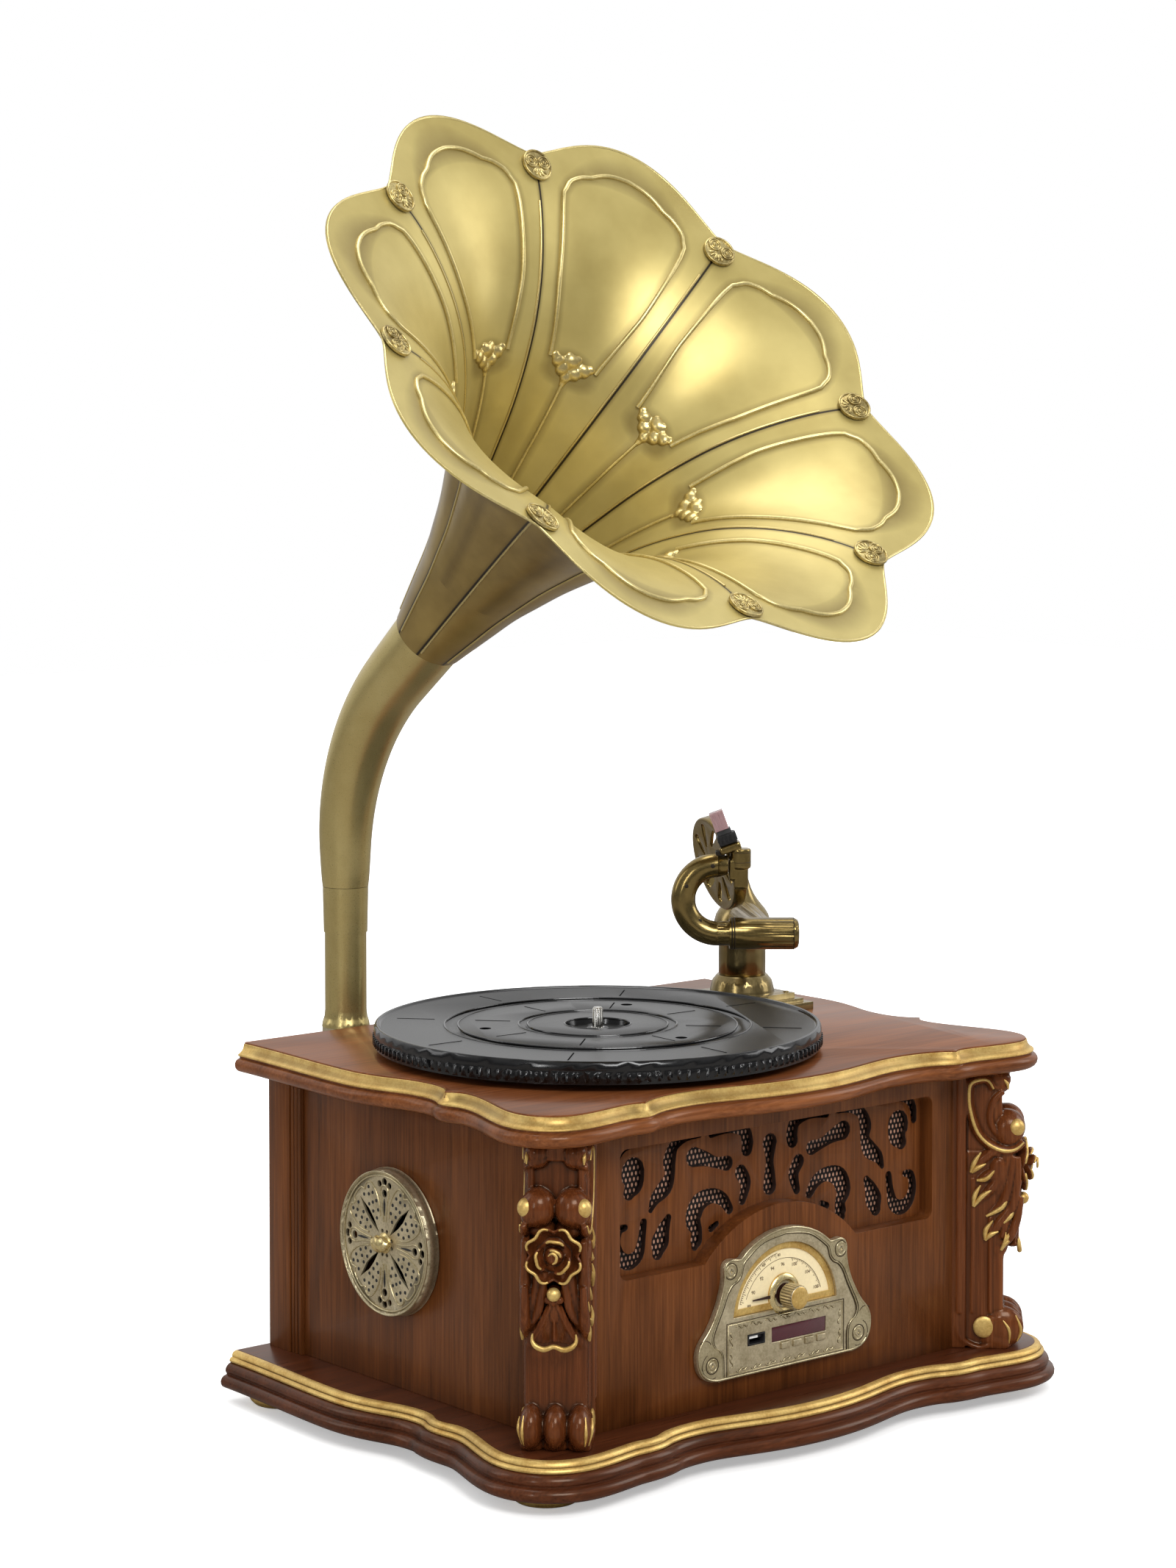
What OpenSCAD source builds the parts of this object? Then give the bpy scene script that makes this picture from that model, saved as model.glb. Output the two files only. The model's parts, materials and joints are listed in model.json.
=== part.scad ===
// Table record player in a moulded wooden cabinet, with a flip-over tonearm and a flower horn.
// Millimetres. +Z is up, +X runs right along the front and +Y runs to the back.
// The origin is the middle of the cabinet body on the plane that the feet stand on.

/* [Cabinet] */
// Width of the cabinet body over its side panels
body_w = 382; // [360:2:420]
// Depth of the cabinet body from front panel to back panel
body_d = 308; // [296:2:330]
// Height of the panels between the two boards
panel_h = 192; // [188:1:205]
// Thickness of the side and back panels
panel_t = 10; // [8:0.5:12]
// Thickness of the front panel
front_t = 12; // [8:0.5:14]
// Size of the bevel at the two front corners, along each face
corner_cut = 26; // [22:1:28]
// Height of the feet
foot_h = 8.5; // [6:0.5:14]
// Radius of a foot
foot_r = 22.5; // [16:0.5:25]

/* [Boards] */
// Thickness of the top board
top_t = 20; // [18:0.5:24]
// Thickness of the base board
base_t = 24.5; // [22:0.5:30]
// How far the top board stands out from the front panel at its middle
front_swell = 25; // [22:0.5:28]
// How far the top board stands out from the front panel at the two waists
front_waist = 10.5; // [8:0.5:13]
// How far the cusps of the front edge stand out
front_cusp = 22.5; // [19:0.5:25]
// How far a corner lobe stands out to the side
lobe_side = 30; // [27:0.5:33]
// How far the cusps of the side edges stand out
side_cusp = 22; // [19:0.5:24]
// How far the side edges stand out at their waists
side_waist = 12; // [9:0.5:14]
// How far the side edges stand out at their swell
side_swell = 25; // [21:0.5:28]
// How far the boards reach past the back panel
back_over = 4.5; // [2:0.5:8]
// How far the base board reaches past the top board all round
base_more = 9; // [6:0.5:12]

/* [Front panel] */
// Half of the width of the fretwork recess
recess_w = 140; // [130:1:142]
// Height of the top of the recess above the floor
recess_top = 210.5; // [205:0.5:214]
// Height of the foot of the recess above the floor
recess_foot = 126.5; // [122:0.5:130]
// Radius of the arch that rises into the recess
arch_r = 90; // [86:1:96]
// Height of the crown of the arch above the floor
arch_top = 157; // [152:0.5:160]
// Thickness of the fretwork panel
fret_t = 4; // [3:0.5:6]
// Gap between the fretwork and the speaker mesh
mesh_gap = 3; // [2:0.5:6]

/* [Control plate] */
// Height of the dome of the control plate above the floor
plate_top = 142; // [138:0.5:146]
// Height of the foot of the control plate above the floor
plate_foot = 49; // [45:0.5:52]
// Thickness of the control plate
plate_t = 4; // [3:0.5:6]
// Height of the tuning knob's axis above the floor
knob_z = 97; // [95:0.5:99]
// Radius of the tuning knob
knob_r = 8.3; // [7:0.1:9]
// Length of the tuning knob
knob_len = 11.5; // [9:0.5:14]
// Radius of the tuning shaft
shaft_r = 3; // [2.5:0.1:3.5]
// Radius of the dial's window
dial_r = 42; // [38:0.5:43]
// Width of one push button
button_w = 7.2; // [6:0.2:8]
// Distance from one push button to the next
button_pitch = 10.8; // [9.5:0.1:12]
// Travel of a push button
button_travel = 0.8; // [0.5:0.1:1]
// Width of the display window
display_w = 48.6; // [40:0.2:50]
// Height of the display window
display_h = 9.6; // [8:0.2:11]

/* [Side vents] */
// Radius of a side vent
vent_r = 49; // [42:0.5:54]
// How far a side vent stands out from its panel
vent_t = 10; // [6:0.5:12]
// Height of a side vent's centre above the floor
vent_z = 130; // [122:1:140]
// Place of a side vent's centre from front to back
vent_y = 15; // [0:1:30]

/* [Platter] */
// Platter's place to the side of the middle
platter_x = -47; // [-52:1:-40]
// Platter's place from front to back
platter_y = -21.5; // [-26:0.5:-14]
// Radius of the platter over its teeth
platter_r = 152; // [140:0.5:153]
// Height of the platter's rim
platter_h = 13; // [12:0.5:16]
// Gap between the platter and the top board
platter_gap = 5; // [4:0.5:8]
// Number of teeth round the platter's rim
platter_teeth = 144; // [96:8:160]
// Radius of the spindle
spindle_r = 3.55; // [3:0.05:3.6]
// How much thicker the spindle is in its bearing than above the platter's hub
spindle_step = 1; // [0.6:0.1:2]
// How far the spindle stands above the platter's ring
spindle_up = 10; // [8:0.5:14]
// Radius of the belt ring under the platter
belt_ring_r = 63; // [55:0.5:75]
// Radius of the motor pulley
pulley_r = 6; // [5:0.1:8]
// Distance from the spindle to the motor
motor_dist = 112; // [104:1:124]
// Radius of the motor
motor_r = 17; // [14:0.5:20]

/* [Tonearm] */
// Place of the arm's post to the side
post_x = 143; // [141:0.5:148]
// Place of the arm's post from front to back
post_y = 42; // [38:0.5:50]
// Side of the arm base's lower step
arm_base_w = 73; // [66:0.5:74]
// Radius of the arm's post
post_r = 16; // [14:0.25:17]
// Radius of the pin that the arm swings on
pivot_r = 6; // [5:0.1:7]
// Heading of the arm at rest, as an angle from +X
arm_heading = -130; // [-135:1:-125]
// Distance from the post to the socket's axis
arm_reach = 150; // [140:1:156]
// Height of the socket's axis above the top board
arm_lift = 76.5; // [75:0.5:84]
// Radius of the arm's socket
socket_r = 10.9; // [10:0.1:12]
// Length of the arm's socket
socket_len = 44; // [40:0.5:50]
// Radius of the gooseneck tube
neck_r = 8.3; // [7:0.1:9]
// Radius of the gooseneck's bend
neck_bend = 23.4; // [21:0.2:26]
// Radius of the sound box
box_r = 33; // [30:0.5:34.5]

/* [Horn] */
// Stem's place to the side
stem_x = -113; // [-125:1:-100]
// Radius of the stem
stem_r = 14.7; // [13.5:0.1:15]
// Height of the stem's collar above the top board
collar_up = 65; // [50:1:90]
// Height of the collar
collar_h = 32; // [28:1:40]
// Turn of the horn from straight ahead
horn_yaw = 3.5; // [-10:0.5:10]
// Slope of the bell's axis
horn_tilt = 41; // [36:0.5:46]
// Radius of the elbow's bend
elbow_bend = 165; // [150:1:180]
// Radius of the elbow where the bell starts
neck_joint_r = 25; // [23:0.5:26]
// Length of the bell from its joint to its medallions
bell_len = 267; // [250:1:280]
// Radius of the circle of medallions
bell_r = 189; // [175:1:200]
// How far the petals reach past the medallions
petal_out = 41; // [30:1:46]
// Number of petals
petals = 8; // [6:1:10]
// Wall of the bell and of the elbow
horn_wall = 1.2; // [1:0.1:2]

/* [Clearances] */
// Radial clearance of a shaft in its bore
run_fit = 0.06; // [0.02:0.01:0.09]
// Clearance between pieces of different bodies that don't touch
side_gap = 0.3; // [0.2:0.05:0.5]
// Clearance round a piece that is set into a hole
set_gap = 0.15; // [0.05:0.05:0.3]

/* [Hidden] */
$fn = 64;

// Levels of the cabinet
half_w = body_w / 2;
half_d = body_d / 2;
floor_z = foot_h + base_t;
under_top = floor_z + panel_h;
top_z = under_top + top_t;
front_y = -half_d;
back_y = half_d;
board_back = back_y + back_over;

wood = [0.36, 0.16, 0.08];
dark_wood = [0.26, 0.11, 0.06];
gold = [0.80, 0.62, 0.28];
bronze = [0.50, 0.42, 0.27];
brass = [0.63, 0.53, 0.28];

// Board outline: cubic curves from the front's middle round to the back corner
outline_steps = 7;
waist_in = 96;
cusp_in = 52;
lobe_y = 24.5;
lobe_round = 29;
outline_curves = [
    [[0, front_y - front_swell], [half_w * 0.24, front_y - front_swell],
     [half_w - waist_in - 30, front_y - front_waist], [half_w - waist_in, front_y - front_waist]],
    [[half_w - waist_in, front_y - front_waist], [half_w - waist_in + 20, front_y - front_waist],
     [half_w - cusp_in - 9, front_y - front_cusp + 8], [half_w - cusp_in, front_y - front_cusp]],
    [[half_w - cusp_in, front_y - front_cusp], [half_w - cusp_in + 8, front_y - front_cusp + 8.5],
     [half_w - 19, front_y - lobe_y], [half_w + 1, front_y - lobe_y]],
    [[half_w + 1, front_y - lobe_y], [half_w + lobe_side - 11, front_y - lobe_y],
     [half_w + lobe_side, front_y - lobe_y + 11], [half_w + lobe_side, front_y - lobe_y + lobe_round]],
    [[half_w + lobe_side, front_y - lobe_y + lobe_round], [half_w + lobe_side, front_y + 28],
     [half_w + 1, front_y + 73], [half_w + side_cusp, front_y + 85.5]],
    [[half_w + side_cusp, front_y + 85.5], [half_w + side_waist, front_y + 93],
     [half_w + side_waist - 1.5, front_y + 109], [half_w + side_waist, front_y + 121]],
    [[half_w + side_waist, front_y + 121], [half_w + side_waist + 1.5, front_y + 141],
     [half_w + side_swell, front_y + 155], [half_w + side_swell, front_y + 187]],
    [[half_w + side_swell, front_y + 187], [half_w + side_swell, front_y + 223],
     [half_w + side_swell - 5, board_back - 44.5], [half_w + side_swell - 5, board_back]]
];
function bezier(c, t) = c[0] * pow(1 - t, 3) + 3 * c[1] * t * pow(1 - t, 2)
    + 3 * c[2] * t * t * (1 - t) + c[3] * t * t * t;
function half_outline() = concat(
    [for (c = outline_curves) for (i = [0 : outline_steps - 1]) bezier(c, i / outline_steps)],
    [outline_curves[len(outline_curves) - 1][3]]);
function mirrored(half) = concat(half, [for (i = [len(half) - 1 : -1 : 1]) [-half[i].x, half[i].y]]);
board_outline = mirrored(half_outline());

// Outward shift of one outline point; the back edge stays flat
function unit2(v) = v / norm(v);
function turned(v) = [v.y, -v.x];
function shift_at(p, i) = let (
        n = len(p),
        a = turned(unit2(p[i] - p[(i + n - 1) % n])),
        b = turned(unit2(p[(i + 1) % n] - p[i])))
    p[i].y > board_back - 0.01 ? [sign(p[i].x), 0] : unit2(a + b);
board_shifts = [for (i = [0 : len(board_outline) - 1]) shift_at(board_outline, i)];
function outline_at(d) = [for (i = [0 : len(board_outline) - 1]) board_outline[i] + board_shifts[i] * d];

// A closed stack of outlines, each with as many points; the caps are flat
module skin(rings) {
    n = len(rings[0]);
    m = len(rings);
    polyhedron(
        points = [for (r = rings) for (p = r) p],
        faces = concat(
            [[for (i = [n - 1 : -1 : 0]) i]],
            [for (k = [0 : m - 2]) for (i = [0 : n - 1]) let (j = (i + 1) % n)
                [k * n + i, k * n + j, (k + 1) * n + j]],
            [for (k = [0 : m - 2]) for (i = [0 : n - 1]) let (j = (i + 1) % n)
                [k * n + i, (k + 1) * n + j, (k + 1) * n + i]],
            [[for (i = [0 : n - 1]) (m - 1) * n + i]]),
        convexity = 8);
}

// A board with a moulded edge; a profile row is [shift outward, drop from the board's top]
module moulded_board(top, profile) {
    skin([for (row = profile) [for (p = outline_at(row[0])) [p.x, p.y, top - row[1]]]]);
}
top_profile = [
    [4, top_t], [7.5, top_t - 1.5], [9, top_t - 4.5], [8, top_t - 8], [5.5, top_t - 9.5],
    [5.5, 8.5], [4, 7], [2, 4.5], [0.8, 1], [0, 0]
];
base_profile = [
    [base_more + 6, base_t], [base_more + 11, base_t - 1.5], [base_more + 13, base_t - 5],
    [base_more + 11, base_t - 9], [base_more + 8, base_t - 10.5], [base_more + 7.5, 11],
    [base_more + 4.5, 7.5], [base_more + 3.5, 5], [base_more + 2.2, 3.4], [base_more + 1.2, 0.6],
    [base_more, 0]
];

// Place of a point on the front panel: x across, z up, y out of the face
module on_front(x, z, out = 0) {
    translate([x, front_y - out, z]) rotate([90, 0, 0]) children();
}

foot_x = half_w + 10;
foot_front = front_y - 1;
foot_back = back_y - 24;
module feet() {
    color(gold)
    for (x = [-foot_x, foot_x])
        for (y = [foot_front, foot_back])
            translate([x, y, 0])
                rotate_extrude()
                    polygon([[0, 0], [foot_r - 3, 0], [foot_r, 3], [foot_r, foot_h], [0, foot_h]]);
}

module base_board() {
    color(wood) moulded_board(floor_z, base_profile);
}

bearing_hole_r = 8;
pulley_hole_r = 12;
motor_x = platter_x + motor_dist * cos(45);
motor_y = platter_y + motor_dist * sin(45);
module top_board() {
    color(wood)
    difference() {
        moulded_board(top_z, top_profile);
        translate([platter_x, platter_y, under_top - 1])
            cylinder(r = bearing_hole_r + set_gap, h = top_t + 2);
        translate([motor_x, motor_y, under_top - 1]) cylinder(r = pulley_hole_r, h = top_t + 2);
        translate([post_x, post_y, under_top - 1]) cylinder(r = 5, h = top_t + 2);
    }
}

// Recess outline on the front panel, with its arch, in x and z
recess_round = 6;
arch_z = arch_top - arch_r;
module recess_shape() {
    difference() {
        union() {
            translate([-recess_w, recess_foot + recess_round])
                square([2 * recess_w, recess_top - recess_foot - 2 * recess_round]);
            translate([-recess_w + recess_round, recess_foot])
                square([2 * (recess_w - recess_round), recess_top - recess_foot]);
            for (x = [-1, 1])
                for (z = [recess_foot + recess_round, recess_top - recess_round])
                    translate([x * (recess_w - recess_round), z]) circle(r = recess_round);
        }
        translate([0, arch_z]) circle(r = arch_r, $fn = 160);
    }
}

plate_half_hole = 44;
module front_panel() {
    color(wood)
    difference() {
        translate([-half_w + corner_cut, front_y, floor_z])
            cube([body_w - 2 * corner_cut, front_t, panel_h]);
        translate([0, front_y + front_t + 1, 0])
            rotate([90, 0, 0])
                linear_extrude(front_t + 2) recess_shape();
        translate([-plate_half_hole, front_y - 1, plate_foot + 8])
            cube([2 * plate_half_hole, front_t + 2, knob_z + 8 - plate_foot - 8]);
    }
}

module side_panel(side) {
    color(wood)
    difference() {
        translate([side > 0 ? half_w - panel_t : -half_w, front_y + corner_cut, floor_z])
            cube([panel_t, body_d - corner_cut, panel_h]);
        translate([side * (half_w - panel_t / 2), vent_y, vent_z])
            rotate([0, 90, 0])
                cylinder(r = vent_r - 8, h = panel_t + 2, center = true);
    }
}
module left_panel() {
    side_panel(-1);
}
module right_panel() {
    side_panel(1);
}

terminal_w = 90;
terminal_h = 46;
terminal_z = floor_z + 30;
module back_panel() {
    color(dark_wood)
    difference() {
        translate([-half_w + panel_t, back_y - panel_t, floor_z])
            cube([body_w - 2 * panel_t, panel_t, panel_h]);
        translate([-terminal_w / 2 + 6, back_y - panel_t - 1, terminal_z + 6])
            cube([terminal_w - 12, panel_t + 2, terminal_h - 12]);
    }
}

// A reeded strip and a square post stand on each side panel at its back
post_w = 24;
post_out = 4;
reed_w = 12;
module rear_posts() {
    color(wood)
    for (side = [-1, 1])
        mirror([side < 0 ? 1 : 0, 0, 0])
            translate([half_w, 0, floor_z]) {
                translate([0, back_y - post_w, 0]) cube([post_out, post_w, panel_h]);
                translate([0, back_y - post_w - reed_w, 0]) cube([1.5, reed_w, panel_h]);
                for (k = [0 : 2])
                    translate([1.8, back_y - post_w - reed_w + 2 + 4 * k, 0])
                        cylinder(r = 1.6, h = panel_h);
            }
}

// Corner column: x across the bevel, y out of it, z up
column_w = 44;
column_depth = 33.4;
column_shaft_w = 36;
volute_z = floor_z + 151;
rose_z = floor_z + 124.5;
ball_z = floor_z + 100.5;
fan_z = floor_z + 65;
scroll_z = floor_z + 15;
module barrel(r, bulge, w) {
    rotate([0, 90, 0])
        rotate_extrude()
            polygon(concat([[0, -w / 2]],
                [for (i = [-4 : 4]) [r + bulge * (1 - i * i / 16), i * w / 8]], [[0, w / 2]]));
}
module corner_column() {
    color(wood) {
        translate([-column_w / 2, 0, floor_z]) cube([column_w, 12, panel_h]);
        translate([-column_shaft_w / 2, 12, floor_z]) cube([column_shaft_w, 16.5, panel_h]);
        translate([-column_shaft_w / 2 + 3, 12, floor_z])
            cube([column_shaft_w - 6, column_depth - 12, panel_h - 32]);
        for (k = [-1 : 1])
            translate([14.5 * k, 26, under_top - 9.2]) barrel(7.5, 1.5, 14);
        for (k = [-1, 1])
            translate([11 * k, 33.5, volute_z]) barrel(11, 1.6, 21);
        translate([0, 28, rose_z])
            rotate([-90, 0, 0])
                rotate_extrude()
                    polygon([[0, 0], [15, 0], [16.5, 10], [15, 17], [11, 21.5], [7, 24.5], [3, 26],
                        [0, 26.5]]);
        for (k = [-1, 1])
            translate([14 * k, 33, ball_z])
                rotate([0, 16 * k, 0]) cylinder(r = 7, h = 40, center = true);
        translate([0, 30, ball_z]) rotate([-90, 0, 0]) cylinder(r1 = 10, r2 = 5, h = 14);
        translate([0, 34, fan_z]) cylinder(r1 = 12.5, r2 = 5, h = 30);
        for (k = [-1 : 1])
            translate([14.8 * k, 31, scroll_z]) barrel(13.2, 1.3, 14.6);
        for (k = [-1, 1])
            translate([k * (column_shaft_w / 2 - 1), 17, scroll_z + 1])
                rotate([0, 90 * k, 0]) cylinder(r = 12, h = 4);
    }
    color(gold) {
        translate([0, 45, ball_z]) sphere(r = 4.4);
        for (k = [-1, 1]) {
            translate([21.5 * k, 34.5, volute_z + 1]) rotate([0, 90 * k, 0]) cylinder(r = 6.3, h = 2.4);
            translate([k * (column_shaft_w / 2 + 3), 17, scroll_z + 1])
                rotate([0, 90 * k, 0]) cylinder(r = 7.5, h = 2);
        }
    }
}
module right_corner_column() {
    translate([half_w - corner_cut / 2, front_y + corner_cut / 2, 0]) rotate(-135) corner_column();
}
module left_corner_column() {
    mirror([1, 0, 0]) right_corner_column();
}

// The outline round two discs [x, z, r], along their outer tangents
module link(a, b) {
    d = [b[0] - a[0], b[1] - a[1]];
    len = norm(d);
    base = atan2(d.y, d.x);
    open = acos((a[2] - b[2]) / len);
    translate([a[0], a[1]]) circle(r = a[2]);
    translate([b[0], b[1]]) circle(r = b[2]);
    polygon([for (q = [[a, 1], [b, 1], [b, -1], [a, -1]])
        [q[0][0], q[0][1]] + q[0][2] * [cos(base + q[1] * open), sin(base + q[1] * open)]]);
}

// A slot of the fretwork follows a smooth path through stations [x, z, half width]
slot_steps = 4;
function path_at(p, i, t) = let (
        a = p[max(0, i - 1)], b = p[i], c = p[i + 1], d = p[min(len(p) - 1, i + 2)])
    (2 * b + (c - a) * t + (2 * a - 5 * b + 4 * c - d) * t * t + (3 * b - a - 3 * c + d) * t * t * t) / 2;
function path_of(p) = concat(
    [for (i = [0 : len(p) - 2]) for (k = [0 : slot_steps - 1]) path_at(p, i, k / slot_steps)],
    [p[len(p) - 1]]);
function heading(q, i) = let (
        a = q[max(0, i - 1)],
        b = q[min(len(q) - 1, i + 1)])
    atan2(b[1] - a[1], b[0] - a[0]);
function edge_point(c, angle) = [c[0] + c[2] * cos(angle), c[1] + c[2] * sin(angle)];
module slot(stations) {
    q = path_of(stations);
    n = len(q);
    polygon(concat(
        [for (i = [0 : n - 1]) edge_point(q[i], heading(q, i) + 90)],
        [for (k = [1 : 5]) edge_point(q[n - 1], heading(q, n - 1) + 90 - 30 * k)],
        [for (i = [n - 1 : -1 : 0]) edge_point(q[i], heading(q, i) - 90)],
        [for (k = [1 : 5]) edge_point(q[0], heading(q, 0) - 90 - 30 * k)]));
}
centre_slot = [[0, 68.5, 6.3], [0, 57, 3.4], [0, 48, 4.6], [0, 39.5, 5.8]];
side_slots = [
    [[52, 80.5, 2], [36, 82.5, 2.8], [23.5, 80, 4.4], [20, 72.5, 5], [20.5, 67, 4.8]],
    [[26, 52.5, 5], [21.5, 44.5, 4.6], [24.5, 33.5, 3]],
    [[38, 60, 5], [48, 62, 3.6], [57, 65.5, 4.8], [67, 68, 6.6]],
    [[62, 82, 2], [74, 81.5, 2.6], [84, 77.5, 4], [88, 68.5, 5.4], [87.5, 60, 4.2], [91.5, 52, 6],
     [100, 45.5, 4.4], [104, 38.5, 1.8]],
    [[119, 65.5, 9.6], [119, 57.5, 8.6], [122, 52.5, 5]],
    [[100, 82.5, 1.6], [122, 82.5, 2], [132, 77.5, 3.2], [134, 66.5, 2.5]],
    [[36, 29.5, 3.4], [42, 37, 4.4], [52, 40.5, 5], [63, 37, 6.8], [67.5, 27.5, 6.6],
     [64.5, 19.5, 4.6], [65, 12.5, 5], [66, 9.5, 3]],
    [[47, 21.5, 1.8], [52, 19, 2.4]],
    [[89, 31.5, 2.6], [93, 24.5, 5.4], [96, 16.5, 7.4], [98, 10, 4.6]],
    [[110, 31.5, 2.8], [111.5, 21.5, 3.2], [114.5, 11.5, 4.6], [122, 7.8, 5.2], [129.5, 11.5, 4.6],
     [133, 20.5, 3.6], [131, 29, 3.2], [125.5, 30.5, 2.2]]
];
module fretwork_panel() {
    color(wood)
    translate([0, front_y + front_t + fret_t, 0])
        rotate([90, 0, 0])
            linear_extrude(fret_t)
                difference() {
                    translate([-recess_w - 8, recess_foot - 8])
                        square([2 * recess_w + 16, recess_top - recess_foot + 14]);
                    translate([0, recess_foot]) {
                        slot(centre_slot);
                        for (side = [0, 1])
                            mirror([side, 0])
                                for (s = side_slots) slot(s);
                    }
                }
}

module speaker_mesh() {
    color([0.12, 0.07, 0.06])
    translate([-recess_w - 8, front_y + front_t + fret_t + mesh_gap, recess_foot - 8])
        cube([2 * recess_w + 16, 1.2, recess_top - recess_foot + 14]);
    color(dark_wood)
    translate([0, front_y + front_t + fret_t + mesh_gap, 0])
        rotate([90, 0, 0])
            linear_extrude(mesh_gap)
                difference() {
                    translate([-recess_w - 8, recess_foot - 8])
                        square([2 * recess_w + 16, recess_top - recess_foot + 14]);
                    translate([-recess_w - 1, recess_foot - 1])
                        square([2 * recess_w + 2, recess_top - recess_foot + 2]);
                }
}

// Side vent: a disc on the outer face of its panel, pierced by slots, drops and dots
vent_rim = 3.6;
vent_plate = 1.6;
vent_slot = vent_r * 0.62;
module vent() {
    color(bronze) {
        rotate_extrude($fn = 96)
            polygon([[vent_r - vent_rim, 0], [vent_r - 1, 0], [vent_r, 1.2], [vent_r - 1.2, 2.6],
                [vent_r - 0.4, 4.2], [vent_r - 1.2, vent_t - 0.8], [vent_r - 2.4, vent_t],
                [vent_r - vent_rim, vent_t - 0.6]]);
        difference() {
            translate([0, 0, vent_t - 3]) cylinder(r = vent_r - vent_rim, h = vent_plate, $fn = 96);
            for (k = [0 : 3])
                rotate(45 + 90 * k)
                    translate([vent_r * 0.16, 0, 0])
                        linear_extrude(vent_t + 1)
                            polygon([[0, 0], [vent_slot * 0.35, 2.1], [vent_slot * 0.6, 2.4],
                                [vent_slot, 0], [vent_slot * 0.6, -2.4], [vent_slot * 0.35, -2.1]]);
            for (k = [0 : 3])
                rotate(90 * k)
                    for (d = [[0.67, 0, 2.6], [0.83, 0, 2.6], [0.79, 0.11, 2.2], [0.79, -0.11, 2.2],
                            [0.16, 0.05, 1.3], [0.16, -0.05, 1.3]])
                        translate([vent_r * d[0], vent_r * d[1], 0])
                            cylinder(r = d[2], h = vent_t + 1, $fn = 24);
        }
    }
}
module left_vent() {
    translate([-half_w, vent_y, vent_z]) rotate([0, -90, 0]) vent();
}
module right_vent() {
    translate([half_w, vent_y, vent_z]) rotate([0, 90, 0]) vent();
}
module vent_finial() {
    color(gold)
    translate([0, 0, vent_t - 3 + vent_plate])
        rotate_extrude()
            polygon([[0, 0], [5.4, 0], [5.4, 1], [4.4, 1.8], [4.4, 2.8], [3.2, 3.6], [4, 5], [3.8, 6.6],
                [2.4, 7.8], [0, 8.2]]);
}
module left_vent_finial() {
    translate([-half_w, vent_y, vent_z]) rotate([0, -90, 0]) vent_finial();
}
module right_vent_finial() {
    translate([half_w, vent_y, vent_z]) rotate([0, 90, 0]) vent_finial();
}

// Control plate: half of its outline from the crown of its dome round to its foot
ear_x = 49.3;
ear_z = plate_top - 22;
lobe_x = 65.6;
lobe_z = plate_foot + 11.8;
plate_curves = [
    [[0, plate_top], [16, plate_top], [31, plate_top - 6], [40, plate_top - 15]],
    [[40, plate_top - 15], [44, plate_top - 16], [46, plate_top - 14], [50, plate_top - 14.6]],
    [[50, plate_top - 14.6], [54, plate_top - 15.2], [56, plate_top - 19], [55, plate_top - 24]],
    [[55, plate_top - 24], [55, plate_top - 30], [57.5, plate_top - 39], [60.5, plate_top - 45]],
    [[60.5, plate_top - 45], [64, plate_top - 52], [67, plate_foot + 36], [71.5, plate_foot + 31]],
    [[71.5, plate_foot + 31], [76, plate_foot + 27], [78.3, plate_foot + 22], [78, plate_foot + 16.5]],
    [[78, plate_foot + 16.5], [77.5, plate_foot + 8], [73, plate_foot + 2.5], [66, plate_foot + 1]],
    [[66, plate_foot + 1], [64, plate_foot + 0.4], [62, plate_foot], [60, plate_foot]]
];
plate_half = concat([for (c = plate_curves) for (i = [0 : 5]) bezier(c, i / 6)], [[60, plate_foot]]);
plate_outline = mirrored(plate_half);
dial_z = 85;
dial_foot = 93;
frame_w = 4.5;
frame_t = 0.8;
collar_ring_r = 14;
usb_x = -26.3;
display_x = 11.9;
strip_z = 71.8;
button_z = 63.6;
button_h = 4.2;
first_button_x = -1;
usb_w = 15;
usb_h = 7.2;
// The sunk half disc of the dial; grow is its margin, and the window lies a frame's width inside it
module half_disc(r, foot) {
    intersection() {
        translate([0, dial_z]) circle(r = r, $fn = 120);
        translate([-60, foot]) square([120, 60]);
    }
}
module window_shape(grow = 0) {
    half_disc(dial_r + frame_w + grow, dial_foot - frame_w - grow);
    translate([0, knob_z]) circle(r = collar_ring_r + grow);
}
module control_plate() {
    color(bronze)
    difference() {
        on_front(0, 0) linear_extrude(plate_t)
            difference() {
                polygon(plate_outline);
                window_shape();
                translate([display_x - display_w / 2 - set_gap, strip_z - display_h / 2 - set_gap])
                    square([display_w + 2 * set_gap, display_h + 2 * set_gap]);
                translate([usb_x - usb_w / 2 - set_gap, strip_z - usb_h / 2 - set_gap])
                    square([usb_w + 2 * set_gap, usb_h + 2 * set_gap]);
                for (k = [0 : 3])
                    translate([first_button_x + button_pitch * k - button_w / 2 - set_gap,
                        button_z - button_h / 2 - set_gap])
                        square([button_w + 2 * set_gap, button_h + 2 * set_gap]);
                for (x = [-1, 1]) {
                    translate([x * ear_x, ear_z]) circle(r = 1.7);
                    translate([x * lobe_x, lobe_z]) circle(r = 1.7);
                }
            }
    }
}

face_t = 1.3;
module dial_face() {
    color([0.93, 0.86, 0.66])
    on_front(0, 0) difference() {
        linear_extrude(face_t) window_shape(-set_gap);
        translate([0, knob_z, -1]) cylinder(r = shaft_r + side_gap, h = face_t + 2);
    }
}

module dial_frame() {
    color(gold)
    on_front(0, 0, face_t)
        linear_extrude(frame_t) {
            difference() {
                half_disc(dial_r + frame_w - set_gap, dial_foot - frame_w + set_gap);
                half_disc(dial_r, dial_foot);
                translate([0, knob_z]) circle(r = collar_ring_r - 1);
            }
            difference() {
                translate([0, knob_z]) circle(r = collar_ring_r - set_gap);
                translate([0, knob_z]) circle(r = collar_ring_r - 3);
            }
        }
}

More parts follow.
